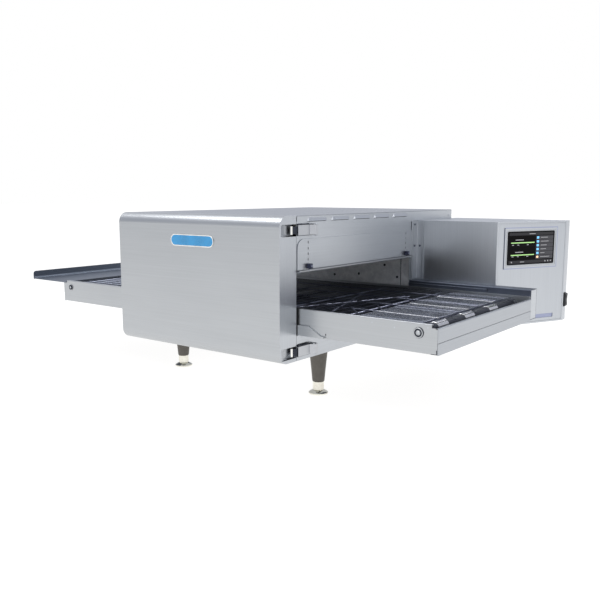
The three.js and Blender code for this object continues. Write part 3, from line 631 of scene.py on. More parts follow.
def latch(side, level):
    """A lever round an upright pin, a near black block behind it that stands for its mechanism and paints
    the shade over it, and the bent link that hooks the cover.
    """
    height = LATCH_HEIGHTS[level]
    x, y = LATCH_PIVOT
    front, rear = 61, y - 14
    inner, outer = 269.7, 273.2
    rise = 13.6 if level == "upper" else 15.6
    crook = [(outer, front), (outer, y - 13), (x + 3.4, y - 5.5), (x + 3.4, y + 4.5)]
    face = prism("z", folded(crook, 1.7, 1.5), height - 11.4, height + 11.4)
    returns = [
        box(inner + 0.1, outer - 0.3, front, front + 1.4, height - 11.3, height + 11.3),
        box(inner + 0.1, outer - 0.8, front + 1.2, rear, height - 11.3, height - 10),
    ]
    boss = ring("z", [(2.2, -8.5), (3.1, -8.5), (3.1, 8.5), (2.2, 8.5)], (x, y, height), 24)
    # The near black plate behind the lever and the block above its top paint the shade round and over the
    # lever; the rods on the block stand for the mechanism.
    works_and_shade = [
        box(inner + 0.05, inner + 0.9, front + 1, y + 3, height - 12.8, height + 12.8),
        box(inner, outer - 1.6, front + 1.3, rear - 6, height - 9.9, height + rise),
        tube([(inner + 1, front + 6, height + rise), (inner + 1, y - 16, height + rise)], 1.1, 12),
        tube([(inner + 2, front + 16, height + rise - 1), (inner + 2, y - 26, height + rise - 1)], 1.4, 12),
    ]
    link = prism("z", [
        (inner, rear), (inner, 60), (264, 48.5), (264, 43.5), (266, 43.5), (266, 48), (outer - 1.9, 59),
        (outer - 1.9, rear),
    ], height - 8.5, height + 8.5)
    roll = rod("z", 3.0, -9.3, 9.3, (265, 46, height), 20)
    body = side + "_" + level + "_latch"
    piece(body + "_lever", body, [
        (face, lever_steel, 0.35), (returns, lever_steel, 0.25), (boss, steel_z), (works_and_shade, dark_metal),
        (link, dark_metal, 0.4), (roll, polished),
    ], [body], side=side)


# ---- Cabinet ----
def louvre(front, rear, bottom):
    """A pressed louvre on the right side: a sloping hood with slanted ends, open below."""
    bm = bmesh.new()
    back = [bm.verts.new((SKIN - 0.3, y, z)) for y, z in (
        (front, bottom), (rear, bottom), (rear - 3, bottom + 9), (front + 7, bottom + 9))]
    edge = [bm.verts.new((SKIN + 3, y, bottom)) for y in (front + 5, rear - 5)]
    for corners in (
        (back[0], back[1], back[2], back[3]), (back[3], back[2], edge[1], edge[0]),
        (back[0], back[3], edge[0]), (back[1], edge[1], back[2]), (back[0], edge[0], edge[1], back[1]),
    ):
        bm.faces.new(corners)
    bmesh.ops.recalc_face_normals(bm, faces=bm.faces)
    return bm


def side_panel(side):
    """A side of the cabinet round the tunnel's mouth, with louvres, latch seats and screws."""
    lo, hi = span("right_side_panel")
    tunnel_top, tunnel_bottom, tunnel_rear = 310, 166.5, 577
    outline = rounded([
        (lo.y, lo.z), (hi.y, lo.z), (hi.y, hi.z), (lo.y, hi.z), (lo.y, tunnel_top),
        (tunnel_rear, tunnel_top), (tunnel_rear, tunnel_bottom), (lo.y, tunnel_bottom),
    ], [0.5, 0.5, 0.5, 0.5, 0.5, 4, 4, 0.5])
    first_louvre, louvre_pitch, louvre_length, louvre_bottom = 98, 95, 79, 424.4
    tools = []
    louvres = []
    for i in range(5):
        front = first_louvre + louvre_pitch * i
        rear = front + louvre_length
        louvres.append(louvre(front, rear, louvre_bottom))
        tools.append(box(SKIN - 4, SKIN + 2, front + 3, rear - 3, louvre_bottom - 1.2, louvre_bottom))
    for y in KNOB_Y.values():
        tools.append(slab("x", y - 3.5, y + 3.5, 300, KNOB_Z + 4, SKIN - 4, SKIN + 2, 3.4))
    panel = cut(prism("x", outline, lo.x, SKIN), *tools)
    seats = []
    x, y = LATCH_PIVOT
    for height in LATCH_HEIGHTS.values():
        plate = slab("x", y - 9, y + 6, height - 8.5, height + 8.5, SKIN - 0.2, SKIN + 1.0, 2)
        tabs = [box(SKIN - 0.4, x + 2.4, y - 2.6, y + 2.6, height + tab - 0.6, height + tab + 0.6)
                for tab in (-12.6, 12.6)]
        pin = turned("z", [(0, -13.8), (1.5, -13.8), (1.9, -13.4), (1.9, 13.4), (1.5, 13.8), (0, 13.8)],
                     (x, y, height), 20)
        seats += [softened(plate, 0.3), softened(merged(*tabs), 0.4), pin]
    fasteners = [
        screw_head("x", 1, (SKIN, y, z), 3.2, 1.3)
        for y, z in ((600, 150), (700, 150), (800, 150), (812, 250), (812, 340), (812, 420))
    ] + [
        rivet("x", 1, (SKIN, y, z), 2.2, 0.35)
        for y, z in ((80, 120), (80, 160), (565, 160), (330, 113), (520, 113))
    ]
    sill = tunnel_bottom - 1.2
    piece(side + "_panel_skin", "oven", [
        (panel, steel_y, 0.35), (louvres, steel_y, 0.25), (seats, steel_z), (fasteners, steel_z),
        (box(SKIN - 9, SKIN - 0.2, 62, 574, sill - 1.2, sill), steel_y),
    ], [side + "_side_panel"], side=side)


def top_and_rear():
    """The flat top with its folded rear edge, and the rear panel with its vents."""
    lo, hi = span("top_panel")
    lip = hi.z - 13.4
    section = folded([(lo.y, lip), (lo.y, hi.z), (hi.y, hi.z), (hi.y, lip)], -SHEET, 2.0)
    top = prism("x", section, lo.x, hi.x)
    ribs = [box(x, x + SHEET, 90, 800, lo.z, hi.z - 1) for x in (262.9, -264.4)]
    seams = [box(lo.x + 20, hi.x - 20, y, y + 0.8, hi.z - 0.5, hi.z + 1) for y in (300, 585)]
    piece("top_skin", "oven", [(cut(top, *seams), steel_top_painted_shade, 0.4), (ribs, steel_y)], ["top_panel"])

    lo, hi = span("rear_panel")
    slots = [slab("y", x - 3, x + 3, 195, 285, lo.y - 3, hi.y + 3, 3)
             for fan in (-125, 125) for x in range(fan - 52, fan + 53, 13)]
    gland_hole = rod("y", 9.5, -4, 4, (200, hi.y, 160))
    crest = lip - 0.7
    panel = cut(slab("y", lo.x, hi.x, lo.z, crest, lo.y, hi.y, 1.0), gland_hole, *slots)
    spots = [(x, z) for x in (-255, -130, 0, 130, 255) for z in (crest - 9, lo.z + 10)]
    spots += [(x, z) for x in (-255, 255) for z in (200, 290, 370)]
    screws = [screw_head("y", 1, (x, hi.y, z), 3.4, 1.5) for x, z in spots]
    plate = slab("y", -45, 45, 330, 385, hi.y - 0.2, hi.y + 0.7, 4)
    piece("rear_skin", "oven", [
        (panel, shaded_steel_x, 0.3), (screws, steel_z), (plate, shaded_steel_x, 0.3),
    ], ["rear_panel"])
    gland = turned("y", [
        (0, -6), (9, -6), (9, 4), (14, 4), (14, 9), (12.6, 9.6), (12.6, 11.5), (10.4, 15), (9.4, 18),
        (6, 18), (5.2, 12), (0, 12),
    ], (200, hi.y - 3.7, 160))
    piece("inlet_gland", "oven", [(gland, black_plastic, 0.4)], ["power_inlet"])


def cabinet():
    front_cover()
    badge()
    for side in ("right", "left"):
        side_panel(side)
        for level in LATCH_HEIGHTS:
            latch(side, level)
    top_and_rear()
    dress("base_pan", steel_y)


# ---- Baking chamber ----
def chamber():
    """The inside, mostly as the CAD nodes have it, and the plain wall seen at the back of the tunnel."""
    for node in ("chamber_liner", "upper_jet_plate", "lower_jet_plate"):
        dress(node, chamber_steel)
    wall = box(-262, 262, 593.5, 595, 163, 317)
    joints = [box(x, x + 1.6, 592.6, 593.6, 163.5, 316.5) for x in (-232, 231)]
    spots = ((2, 242), (178, 281), (220, 249), (-178, 281), (-220, 249), (-90, 281), (90, 250))
    screws = [screw_head("y", -1, (x, 593.4, z), 3.4, 1.5) for x, z in spots]
    piece("tunnel_back_wall", "oven", [
        (wall, wall_steel, 0.4), (joints, dark_metal), (screws, dark_metal)])
    dress("heating_element", dark_metal, 0)
    dress("top_insulation", wool, 3)
    for side in ("left", "right"):
        dress(side + "_blower_wheel", chamber_steel, 0.3)
        dress(side + "_blower_motor", motor_paint, 0.8)


def baffle(side):
    """A sliding plate over the tunnel's mouth, with index holes and a lip bent outwards."""
    lo, hi = span("right_baffle_plate")
    corner = 22
    outline = (
        [(lo.y, lo.z + 3), (hi.y, lo.z + 3)]
        + arc(hi.y - 3, hi.z - 3, 3, 0, 90, 6)
        + arc(lo.y + corner, hi.z - corner, corner, 90, 180, 18)
    )
    holes = []
    for y in KNOB_Y.values():
        holes.append(rod("x", 2.6, -3, 3, (lo.x + 0.75, y, KNOB_Z), 20))
        for z in (338, 351, 363.5, 377):
            holes.append(prism("x", pill_z(y, z, 1.3, 1.9), lo.x - 2, lo.x + 4))
    plate = cut(prism("x", outline, lo.x, lo.x + SHEET), *holes)
    lip_path = [(lo.x, lo.z + 6), (lo.x, lo.z), (hi.x, lo.z), (hi.x, lo.z + 4.5)]
    lip = prism("y", folded(lip_path, SHEET, 1.8), lo.y, hi.y)
    # Black strips behind the index holes: painted shade seen through the holes.
    hole_shades = [box(lo.x - 0.35, lo.x - 0.05, y - 5, y + 5, 333, 382) for y in KNOB_Y.values()]
    piece(side + "_baffle_sheet", side + "_baffle", [
        (plate, steel_y, 0.35), (lip, lever_steel, 0.25), (hole_shades, black_plastic),
    ], [side + "_baffle_plate"], side=side)


def knob(side, place):
    """A ribbed clamping knob with a lighter insert and a threaded stem."""
    y = KNOB_Y[place]
    start = SKIN + 0.5 + SHEET + 0.3  # just outside the baffle
    outline = []
    lobes = 4
    steps = 72
    for k in range(steps):
        angle = 2 * math.pi * k / steps
        radius = 6.2 + 1.2 * math.cos(lobes * angle + math.pi)
        outline.append((y + radius * math.cos(angle), KNOB_Z + radius * math.sin(angle)))
    grip = prism("x", outline, start, start + 9.2)
    crown = turned("x", [(0, 9.2), (4.8, 9.2), (4.2, 10.4), (3.2, 10.8), (0, 10.8)], (start, y, KNOB_Z), 32)
    insert = turned("x", [(0, 10.7), (2.6, 10.7), (2.4, 11), (0, 11)], (start, y, KNOB_Z), 24)
    stem = turned("x", [(0, -11), (1.6, -11), (2, -10.5), (2, 0), (0, 0)], (start, y, KNOB_Z), 18)
    body = side + "_" + place + "_knob"
    piece(body + "_grip", body, [
        (grip, knob_plastic, 0.5, 2, 60), (crown, knob_plastic), (insert, knob_face), (stem, polished),
    ], [body], side=side)


# ---- Conveyor ----
def front_rail():
    """The long front rail: a channel with a rolled upper edge, bearing holes and notched ends."""
    lo, hi = span("front_rail")
    path = [(lo.y + 6.5, hi.z - 3), (lo.y + 6.5, hi.z), (lo.y, hi.z), (lo.y, lo.z), (hi.y, lo.z)]
    rail = prism("x", folded(path, SHEET, 2.0), lo.x, hi.x)
    tools = [box(low, high, lo.y - 2, lo.y + 9, 222, hi.z + 3) for low, high in ((-625, -604), (604, 625))]
    tools += [rod("y", 8.5, -4, 4, (x, lo.y + 0.7, SHAFT_Z), 40) for x in SHAFT_X.values()]
    tools.append(slab("y", 344.4, 346.8, 170.5, 180, lo.y - 3, lo.y + 4, 0.6))
    # Thin near black strips at the rail's lower right corner: painted shade of the slit there.
    tabs = [box(603, 616.5, lo.y - 0.5, lo.y + 0.3, 168.4, 169.6),
            box(615.2, 616.6, lo.y - 0.5, lo.y + 0.3, 168.4, 178)]
    spots = [rivet("y", -1, (x, lo.y + 0.05, z), 2.0, 0.35)
             for x, z in ((464.7, 219), (518.8, 214), (595, 222), (-529, 214.5), (-472.7, 219))]
    piece("front_rail_channel", "oven", [
        (cut(rail, *tools), shaded_steel_x, 0.35), (tabs, dark_metal, 0.2), (spots, steel_z),
    ], ["front_rail"])


def rear_rail():
    """The plain channel along the rear of the conveyor."""
    lo, hi = span("rear_rail")
    path = [(hi.y - 5, hi.z), (hi.y, hi.z), (hi.y, lo.z), (lo.y, lo.z)]
    rail = prism("x", folded(path, -SHEET, 2.0), lo.x, hi.x)
    holes = [rod("y", 5.7, -8, 8, (x, hi.y, SHAFT_Z)) for x in SHAFT_X.values()]
    piece("rear_rail_channel", "oven", [(cut(rail, *holes), shaded_steel_x, 0.3)], ["rear_rail"])


def end_plates_and_pans():
    """The plates that close the conveyor's ends, and the crumb drawers below the belt."""
    for side in ("right", "left"):
        lo, hi = span("right_end_plate")
        path = [(hi.x - 6, hi.z), (hi.x, hi.z), (hi.x, lo.z)]
        plate = prism("y", folded(path, -SHEET, 1.8), lo.y, hi.y)
        piece(side + "_end_sheet", "oven", [(plate, end_steel, 0.3)], [side + "_end_plate"], side=side)

        lo, hi = span("right_crumb_pan")
        lip = box(hi.x - SHEET, hi.x, lo.y, hi.y, lo.z, hi.z)
        tray = cut(
            slab("z", 270, hi.x - SHEET + 0.4, 82, 557, 171, 184, 6),
            slab("z", 270 + SHEET, hi.x - SHEET - 0.8, 83.5, 555.5, 172.5, 190, 5))
        grip = box(hi.x - 0.2, hi.x + 0.3, 270, 372, 169, 170)
        piece(side + "_crumb_drawer", side + "_crumb_pan", [
            (lip, end_steel, 0.6), (tray, pan_steel, 0.4), (grip, end_steel, 0.1),
        ], [side + "_crumb_pan"], side=side)


def on_loop(distance, left, right, radius):
    """A point (x, z) on a closed path round two shafts, which starts over the left one."""
    run = right - left
    turn = math.pi * radius
    s = distance % (2 * run + 2 * turn)
    if s < run:
        return left + s, SHAFT_Z + radius
    s -= run
    if s < turn:
        angle = math.pi / 2 - s / radius
        return right + radius * math.cos(angle), SHAFT_Z + radius * math.sin(angle)
    s -= turn
    if s < run:
        return right - s, SHAFT_Z - radius
    s -= run
    angle = -math.pi / 2 - s / radius
    return left + radius * math.cos(angle), SHAFT_Z + radius * math.sin(angle)


def loop_pitch(left, right, radius, count):
    """The length of one of count equal steps along the closed path round two shafts."""
    return (2 * (right - left) + 2 * math.pi * radius) / count


RIGHT_ROWS = (110, 174, 250, 322, 395, 466, 535)  # y of the rows of links outside the oven
# The links in these rows are thicker and much lighter: a painted highlight.
BRIGHT_ROWS = (174, 322, 466)
LEFT_ROWS = range(96, 556, 28)


def wire_belt():
    """The belt: cross wires with hooked edges, closer together and linked in rows outside the oven. Their
    colour is painted light and shade: near black in the tunnel, lighter outside it and lightest at the
    right end.
    """
    lo, hi = span("wire_belt")
    left, right = SHAFT_X["left"], SHAFT_X["right"]
    count = 2 * round(loop_pitch(left, right, BELT_RADIUS, 1) / BELT_PITCH / 2)
    pitch = loop_pitch(left, right, BELT_RADIUS, count)
    dark, glints, light, bright_wires, links = [], [], [], [], []

    def wire(radius, path):
        """A wire through points given by their distance along the belt, and y."""
        points = []
        for distance, y in path:
            x, z = on_loop(distance, left, right, BELT_RADIUS)
            points.append((x, y, z))
        return tube(points, radius, 5)

    for k in range(count):
        here = k * pitch
        x = on_loop(here, left, right, BELT_RADIUS)[0]
        outside = 413 < abs(x) and left + 14 < x < right - 17
        # Painted shade and light: wires in the tunnel are near black, every third one a lighter painted
        # glint; wires outside are lighter, and lighter still at the right end.
        if outside:
            group = bright_wires if x > 0 else light
        else:
            group = dark if k % 3 else glints
        ahead = here + pitch + 0.7
        group.append(wire(0.5, [
            (ahead, lo.y + 5.5), (ahead, lo.y + 1.3), (here, lo.y + 0.9), (here, lo.y + 6),
            (here, hi.y - 6), (here, hi.y - 0.9), (ahead, hi.y - 1.3), (ahead, hi.y - 5.5),
        ]))
        if not outside:
            continue
        middle = here + pitch / 2
        light.append(wire(0.42, [(middle, lo.y + 2), (middle, hi.y - 2)]))
        for row in RIGHT_ROWS if x > 0 else LEFT_ROWS:
            bright = row in BRIGHT_ROWS
            for step in (here, middle):
                (links if bright else light).append(wire(0.72 if bright else 0.5, [
                    (step, row - 3.4), (step + 2.4, row - 1.6), (step + 2.9, row), (step + 2.4, row + 1.6),
                    (step, row + 3.4),
                ]))
    piece("belt_wires", "oven", [
        (dark, belt_painted_shade), (glints, belt_glint), (light, belt_painted_light), (bright_wires, belt_painted_bright_light),
        (links, link_steel_painted_highlight),
    ], ["wire_belt"], 60)


def support_rack():
    """The welded rods that carry the belt, with diagonal stays."""
    lo, hi = span("belt_support_rack")
    rods = [tube([(lo.x, y, 217), (hi.x, y, 217)], 1.9, 12) for y in (102, 205, 311, 417, 523)]
    for x in (-540, -360, -180, 0, 180, 360, 540):
        rods.append(tube([(x, lo.y, 213.4), (x, hi.y, 213.4)], 2.3, 12))
    stays = [
        ((308, 222), (409, 115)), ((348, 279), (424, 194)), ((298, 490), (416, 350)),
        ((190, 110), (330, 470)), ((190, 470), (310, 140)),
    ]
    for (xa, ya), (xb, yb) in stays:
        for sign in (-1, 1):
            rods.append(tube([(sign * xa, ya, 216.2), (sign * xb, yb, 216.2)], 1.7, 10))
    piece("rack_rods", "oven", [(rods, rod_steel)], ["belt_support_rack"], 50)


# Teeth, radii of root and tip, their half widths as shares of a tooth's pitch, and the bevel
BELT_SPROCKET = (8, 10.6, 12.2, 0.35, 0.112, 0.3)
CHAIN_SPROCKET = (16, 16.4, 17.9, 0.4, 0.096, 0.25)


def sprocket(form, x, y0, y1):
    """A toothed wheel on a shaft at x."""
    teeth, root, tip, root_half, tip_half, bevel = form
    outline = []
    for k in range(teeth):
        for radius, offset in ((root, -root_half), (tip, -tip_half), (tip, tip_half), (root, root_half)):
            angle = 2 * math.pi * (k + offset) / teeth
            outline.append((x + radius * math.cos(angle), SHAFT_Z + radius * math.sin(angle)))
    return softened(prism("y", outline, y0, y1), bevel)


def belt_shaft(name, x):
    """A shaft with black sprockets, and polished sleeves and a chain wheel on the drive side."""
    lo, hi = span(name)
    axis = (x, 0, SHAFT_Z)
    inner = BELT_SHAFT_RADIUS
    shaft = turned("y", [(0, lo.y), (2.6, lo.y), (3.2, lo.y + 0.5), (3.2, lo.y + 1.3), (inner, lo.y + 1.5),
                         (inner, hi.y - 0.6), (4.4, hi.y), (0, hi.y)], axis, 24)
    roller = turned("y", [(inner, 90), (11.4, 90), (11.4, 550), (inner, 550)], axis)
    sprockets = []
    for y in (108, 214, 320, 426, 532):
        sprockets.append(sprocket(BELT_SPROCKET, x, y, y + 8))
        sprockets.append(turned("y", [(inner, -5), (8, -5), (8, 13), (inner, 13)], (x, y, SHAFT_Z), 24))
    parts = [(shaft, steel_y), (roller, dark_metal), (sprockets, dark_metal)]
    if name == "drive_shaft":
        sleeves = [
            turned("y", [(inner, start), (12.2, start), (13, start + 0.8), (13, end - 0.8), (12.2, end),
                         (inner, end)], axis)
            for start, end in ((131, 178), (262, 310), (394, 442))
        ]
        parts += [(sleeves, roller_chrome), (sprocket(CHAIN_SPROCKET, x, 588, 592), dark_metal)]
    piece(name + "_turned", name, parts, [name])


def bearing(side):
    """A shaft's front bearing in its flange; on the drive side it stands out more."""
    lo, hi = span(side + "_front_bearing")
    axis = (SHAFT_X[side], 0, SHAFT_Z)
    inner, outer, front = (5.3, 8.6, lo.y) if side == "right" else (3.4, 7.2, lo.y + 2)
    flange = ring("y", [
        (outer + 0.1, front), (outer + 1.6, front), (outer + 2, front + 0.3), (outer + 2, lo.y + 2.4),
        (outer + 0.1, lo.y + 2.4),
    ], axis, 40)
    sleeve = ring("y", [
        (inner, lo.y + 0.1), (outer, lo.y + 0.3), (outer, lo.y + 2.4), (8, lo.y + 2.5), (8, hi.y),
        (inner, hi.y),
    ], axis, 40)
    parts = [(flange, shaded_steel_x), (sleeve, dark_metal)]
    if side == "right":
        hub = ring("y", [(3.4, lo.y + 0.2), (5.1, lo.y + 0.2), (5.1, lo.y + 3), (3.4, lo.y + 3)], axis, 40)
        # A thin dark ring round the drive side's flange: a painted shadow line.
        shadow_ring = ring("y", [(outer + 2.1, lo.y + 1.5), (outer + 2.8, lo.y + 1.7), (outer + 2.8, lo.y + 2.4),
                         (outer + 2.1, lo.y + 2.4)], axis, 40)
        parts += [(hub, shaded_steel_x), (shadow_ring, dark_metal)]
    piece(side + "_bearing_ring", "oven", parts, [side + "_front_bearing"])


def support_bracket(side):
    """The plate beside the cover that holds up the front rail."""
    lo, hi = span("right_support_bracket")
    plate = prism("y", rounded([
        (lo.x, lo.z), (hi.x, lo.z), (hi.x, 173), (334, 173), (299, hi.z), (lo.x, hi.z),
    ], [0.5, 1.5, 1.5, 3, 3, 0.5]), lo.y, hi.y)
    piece(side + "_bracket_plate", "oven", [(plate, shaded_steel_x, 0.5)], [side + "_support_bracket"], side=side)


def conveyor():
    front_rail()
    rear_rail()
    end_plates_and_pans()
    wire_belt()
    support_rack()
    belt_shaft("drive_shaft", SHAFT_X["right"])
    belt_shaft("idler_shaft", SHAFT_X["left"])
    for side in SHAFT_X:
        bearing(side)
        support_bracket(side)


def exit_tray():
    """The tray beyond the belt's left end, with a rounded end stop."""
    lo, hi = span("left_exit_tray")
    stop = prism("x", rounded([
        (lo.y, 219), (hi.y, 219), (hi.y, hi.z), (lo.y, hi.z)], [0.5, 0.5, 10, 10], 10), lo.x, lo.x + SHEET)
    floor_path = [(lo.x + 0.6, 226), (lo.x + 3, 219.6), (-621.5, 219.6)]
    floor = prism("y", folded(floor_path, SHEET, 3.0), lo.y + 1.5, hi.y - 1.5)
    riser_path = [(-616, 222.5), (-616, 224), (-623, 224), (-623, 200)]
    riser = prism("y", folded(riser_path, SHEET, 1.0), lo.y, hi.y)
    piece("exit_tray_sheet", "left_exit_tray", [
        (stop, tray_steel, 0.5), (floor, tray_steel, 0.25), (riser, tray_steel, 0.2),
    ], ["left_exit_tray"])


# ---- Drive ----
def chain_cover():
    """The shelf over the chain, with a low guard beside the belt."""
    lo, hi = span("chain_cover")
    path = [(hi.y, lo.z), (hi.y, hi.z), (lo.y, hi.z), (lo.y, lo.z), (hi.y - 0.3, lo.z)]
    shell = prism("x", folded(path, SHEET, 2.0), lo.x, hi.x)
    ends = [box(x, x + SHEET, lo.y + 0.5, hi.y - 0.5, lo.z + 0.5, hi.z - 0.5) for x in (lo.x, hi.x - SHEET)]
    holes = [rod("y", 6, -8, 8, (x, y, SHAFT_Z)) for x, y in ((SHAFT_X["right"], lo.y), (MOTOR_X, hi.y))]
    guard_path = [(577, 238.5), (573.2, 238.5), (573.2, 229.8)]
    guard = prism("x", folded(guard_path, SHEET, 1.2), lo.x, 500)
    # The chain cover and its guard are near black: painted shade.
    piece("chain_cover_sheet", "oven", [
        (cut(shell, *holes), painted_shade_steel, 0.35), (ends, steel_y, 0.4), (guard, painted_shade_steel, 0.2),
    ], ["chain_cover"])


def chain():
    """A roller chain: pairs of side plates, alternately wide and narrow, and a pin for each link."""
    path = (MOTOR_X, SHAFT_X["right"], CHAIN_RADIUS)
    pitch = loop_pitch(*path, CHAIN_LINKS)
    links = []
    for k in range(CHAIN_LINKS):
        (xa, za), (xb, zb) = [on_loop((k + share) * pitch, *path) for share in (0.06, 0.94)]
        for y in (588.2, 591.8) if k % 2 else (587.4, 592.6):
            links.append(tube([(xa, y, za), (xb, y, zb)], 1.1, 8))
        links.append(tube([(xa, 587.2, za), (xa, 592.8, za)], 1.2, 10))
    piece("chain_links", "oven", [(links, chamber_steel)], ["drive_chain"])


def drive():
    chain_cover()
    chain()
    lo, hi = span("motor_sprocket")
    piece("motor_sprocket_turned", "motor_sprocket", [
        (rod("y", BELT_SHAFT_RADIUS, lo.y, hi.y, (MOTOR_X, 0, SHAFT_Z), 24), polished),
        (sprocket(CHAIN_SPROCKET, MOTOR_X, 588, 592), dark_metal),
    ], ["motor_sprocket"])
    dress("drive_motor", motor_paint, 0.8)


# ---- Control box ----
# x and y of the angled face's ends, and its screen's left, right, lowest and highest edges along it
FACE_CORNER = (506, 617)
FACE_END = (614, 842)
FACE_LENGTH = math.dist(FACE_CORNER, FACE_END)
FACE_TURN = math.degrees(math.atan2(FACE_END[1] - FACE_CORNER[1], FACE_END[0] - FACE_CORNER[0]))
SCREEN = (35.9, 203.8, 296, 385.2)
ROW_STEP = 0.118  # from each row of the screen's list to the next


def on_face(solid):
    """Puts a solid drawn with x along the angled face and y into the box onto that face."""
    return turned_about_z(solid, FACE_TURN, (FACE_CORNER[0], FACE_CORNER[1], 0))


def tile(left, right, bottom, top, depth=0.0, radius=0.6):
    """A thin lit area on the screen, by shares of the screen's width and height."""
    x0, x1, z0, z1 = SCREEN
    width, height = x1 - x0, z1 - z0
    return on_face(slab("y", x0 + left * width, x0 + right * width, z0 + bottom * height, z0 + top * height,
                        -0.92 - depth, -0.75, radius, 3))


def touch_screen():
    """The display: a bar, two status panels with progress bars, a list with icons, and a lower bar."""
    x0, x1, z0, z1 = SCREEN
    pane = on_face(softened(slab("y", x0, x1, z0, z1, -0.8, 2.1, 4, 8), 0.35))
    bars = [tile(0.03, 0.97, 0.88, 0.965), tile(0.03, 0.97, 0.035, 0.125)]
    panels = [tile(0.03, 0.585, 0.58, 0.865), tile(0.03, 0.585, 0.145, 0.55)]
    rows = [tile(0.60, 0.97, 0.745 - ROW_STEP * i, 0.855 - ROW_STEP * i, 0.0, 0.3) for i in range(6)]
    greens = [tile(0.07, 0.565, z, z + 0.03, 0.06) for z in (0.645, 0.275)]
    blues = [tile(0.615, 0.66, 0.77 - ROW_STEP * i, 0.835 - ROW_STEP * i, 0.06) for i in range(5)]
    warm = tile(0.615, 0.66, 0.77 - ROW_STEP * 5, 0.835 - ROW_STEP * 5, 0.06, 2.4)
    marks = [tile(0.70, 0.70 + w, 0.795 - ROW_STEP * i, 0.812 - ROW_STEP * i, 0.06, 0.2)
             for i, w in enumerate((0.15, 0.17, 0.13, 0.12, 0.09, 0.2))]
    marks += [tile(0.16, 0.33, z, z + 0.022, 0.06, 0.2) for z in (0.735, 0.365)]
    marks += [tile(u, u + 0.04, z, z + 0.02, 0.06, 0.2) for u in (0.09, 0.2, 0.4) for z in (0.585, 0.235)]
    marks += [tile(u, u + 0.022, 0.06, 0.1, 0.06, 0.6) for u in (0.08, 0.80, 0.86, 0.92)]
    marks += [tile(0.27, 0.36, 0.07, 0.088, 0.06, 0.2), tile(0.45, 0.58, 0.915, 0.932, 0.06, 0.2)]
    piece("screen", "oven", [
        (pane, glass), (bars, screen_bar), (panels, screen_panel), (rows, screen_row),
        (greens, screen_green), (blues, screen_blue), (warm, screen_warm), (marks, screen_mark),
    ], ["touch_screen"])


def control_case():
    """The box's hollow case, with the flange and screws that hold it to the cabinet."""
    lo, hi = span("control_box")
    outline = rounded([
        (lo.x, lo.y), FACE_CORNER, FACE_END, (FACE_END[0], hi.y), (lo.x, hi.y),
    ], [1, 2.5, 2.5, 2.5, 2], 5)
    inset = [(lo.x + SHEET, lo.y + SHEET), (FACE_CORNER[0] - 1, lo.y + SHEET),
             (FACE_END[0] - SHEET, FACE_END[1] + 0.7), (FACE_END[0] - SHEET, hi.y - SHEET),
             (lo.x + SHEET, hi.y - SHEET)]
    shell = prism("z", outline, lo.z, hi.z)
    inside = prism("z", inset, lo.z + SHEET, hi.z - SHEET)
    window = on_face(box(5, FACE_LENGTH - 5, -2, 6, lo.z + 5, hi.z - 5))
    motor_hole = rod("y", 6, -6, 6, (MOTOR_X, lo.y, SHAFT_Z))
    switch_hole = box(FACE_END[0] - 5, FACE_END[0] + 5, 845, 863, 169, 209)
    vents = [slab("y", x - 2.2, x + 2.2, 300, 380, hi.y - 4, hi.y + 4, 2.2)
             for x in range(330, 539, 26)]
    spots = [(x, z) for x in (285, 440, 600) for z in (142, 400)]
    pits = [rod("y", 4.3, -1.1, 2, (x, hi.y, z), 24) for x, z in spots]
    case = cut(shell, inside, window, motor_hole, switch_hole, *vents, *pits)
    screws = [screw_head("y", 1, (x, hi.y - 1.1, z), 3.4, 1.0) for x, z in spots]
    flange_path = [(lo.x + 4.4, 584), (lo.x + 1.2, 584), (lo.x + 1.2, lo.y - 1.6), (lo.x + 20, lo.y - 1.6),
                   (lo.x + 20, lo.y - 4)]
    flange = prism("z", folded(flange_path, 1.2, 0.8), 246, 409)
    flange_screws = [screw_head("x", 1, (lo.x + 1.2, 600, z), 3.0, 1.4) for z in (400, 340)]
    flange_screws.append(screw_head("y", -1, (lo.x + 10, lo.y - 1.6, 340), 3.0, 1.4))
    # The flange's screws are near black: painted shade.
    piece("control_case", "oven", [
        (case, steel_z, 0.5), (screws, steel_z), (flange, steel_z, 0.2), (flange_screws, painted_shade_steel),
    ], ["control_box"])


def control_face():
    """The angled panel with its shallow slot, and the bezel round the screen."""
    lo, hi = span("control_box")
    edge = 5.3
    plate = slab("y", edge, FACE_LENGTH - edge, lo.z + edge, hi.z - edge, 0.4, 3.5, 1.5)
    x0, x1, z0, z1 = SCREEN
    opening = rectangle(x0 - 0.4, x1 + 0.4, z0 - 0.4, z1 + 0.4, 4.2, 8)
    recess = prism("y", opening, -3, 2.3)
    slot = slab("y", 145, 212, 144, 155, -3, 2.4, 1.5)
    face = softened(cut(plate, recess, slot), 0.35)
    bezel = softened(cut(
        slab("y", 26, 213.5, 287, 394, -0.5, 0.6, 2.5),
        slab("y", 30, 209.5, 291, 390, -2, 2, 2)), 0.4)
    inner = softened(cut(
        slab("y", 32.5, 207, 292.8, 388.4, -0.1, 0.6, 5), prism("y", opening, -2, 2)), 0.3)
    # The lilac line round the bezel and the slot's floor are painted shadow lines; the dark strip at the
    # bezel's left is painted shade.
    line = cut(
        slab("y", 24, 215.5, 285, 396, -0.3, 0.6, 3.5),
        slab("y", 26.2, 213.3, 287.2, 393.8, -2, 2, 2.5))
    shade = slab("y", 23.6, 26.3, 285.5, 395.5, -0.36, 0.6, 1)
    floor = slab("y", 145.5, 211.5, 144.5, 154.5, 1.9, 2.6, 1.2)
    piece("face_sheet", "oven", [
        (on_face(face), steel_z), (on_face(bezel), steel_z), (on_face(inner), shaded_steel_x),
        (on_face(merged(line, floor)), shadow_line_steel), (on_face(shade), painted_shade_steel),
    ], ["control_face_panel"])


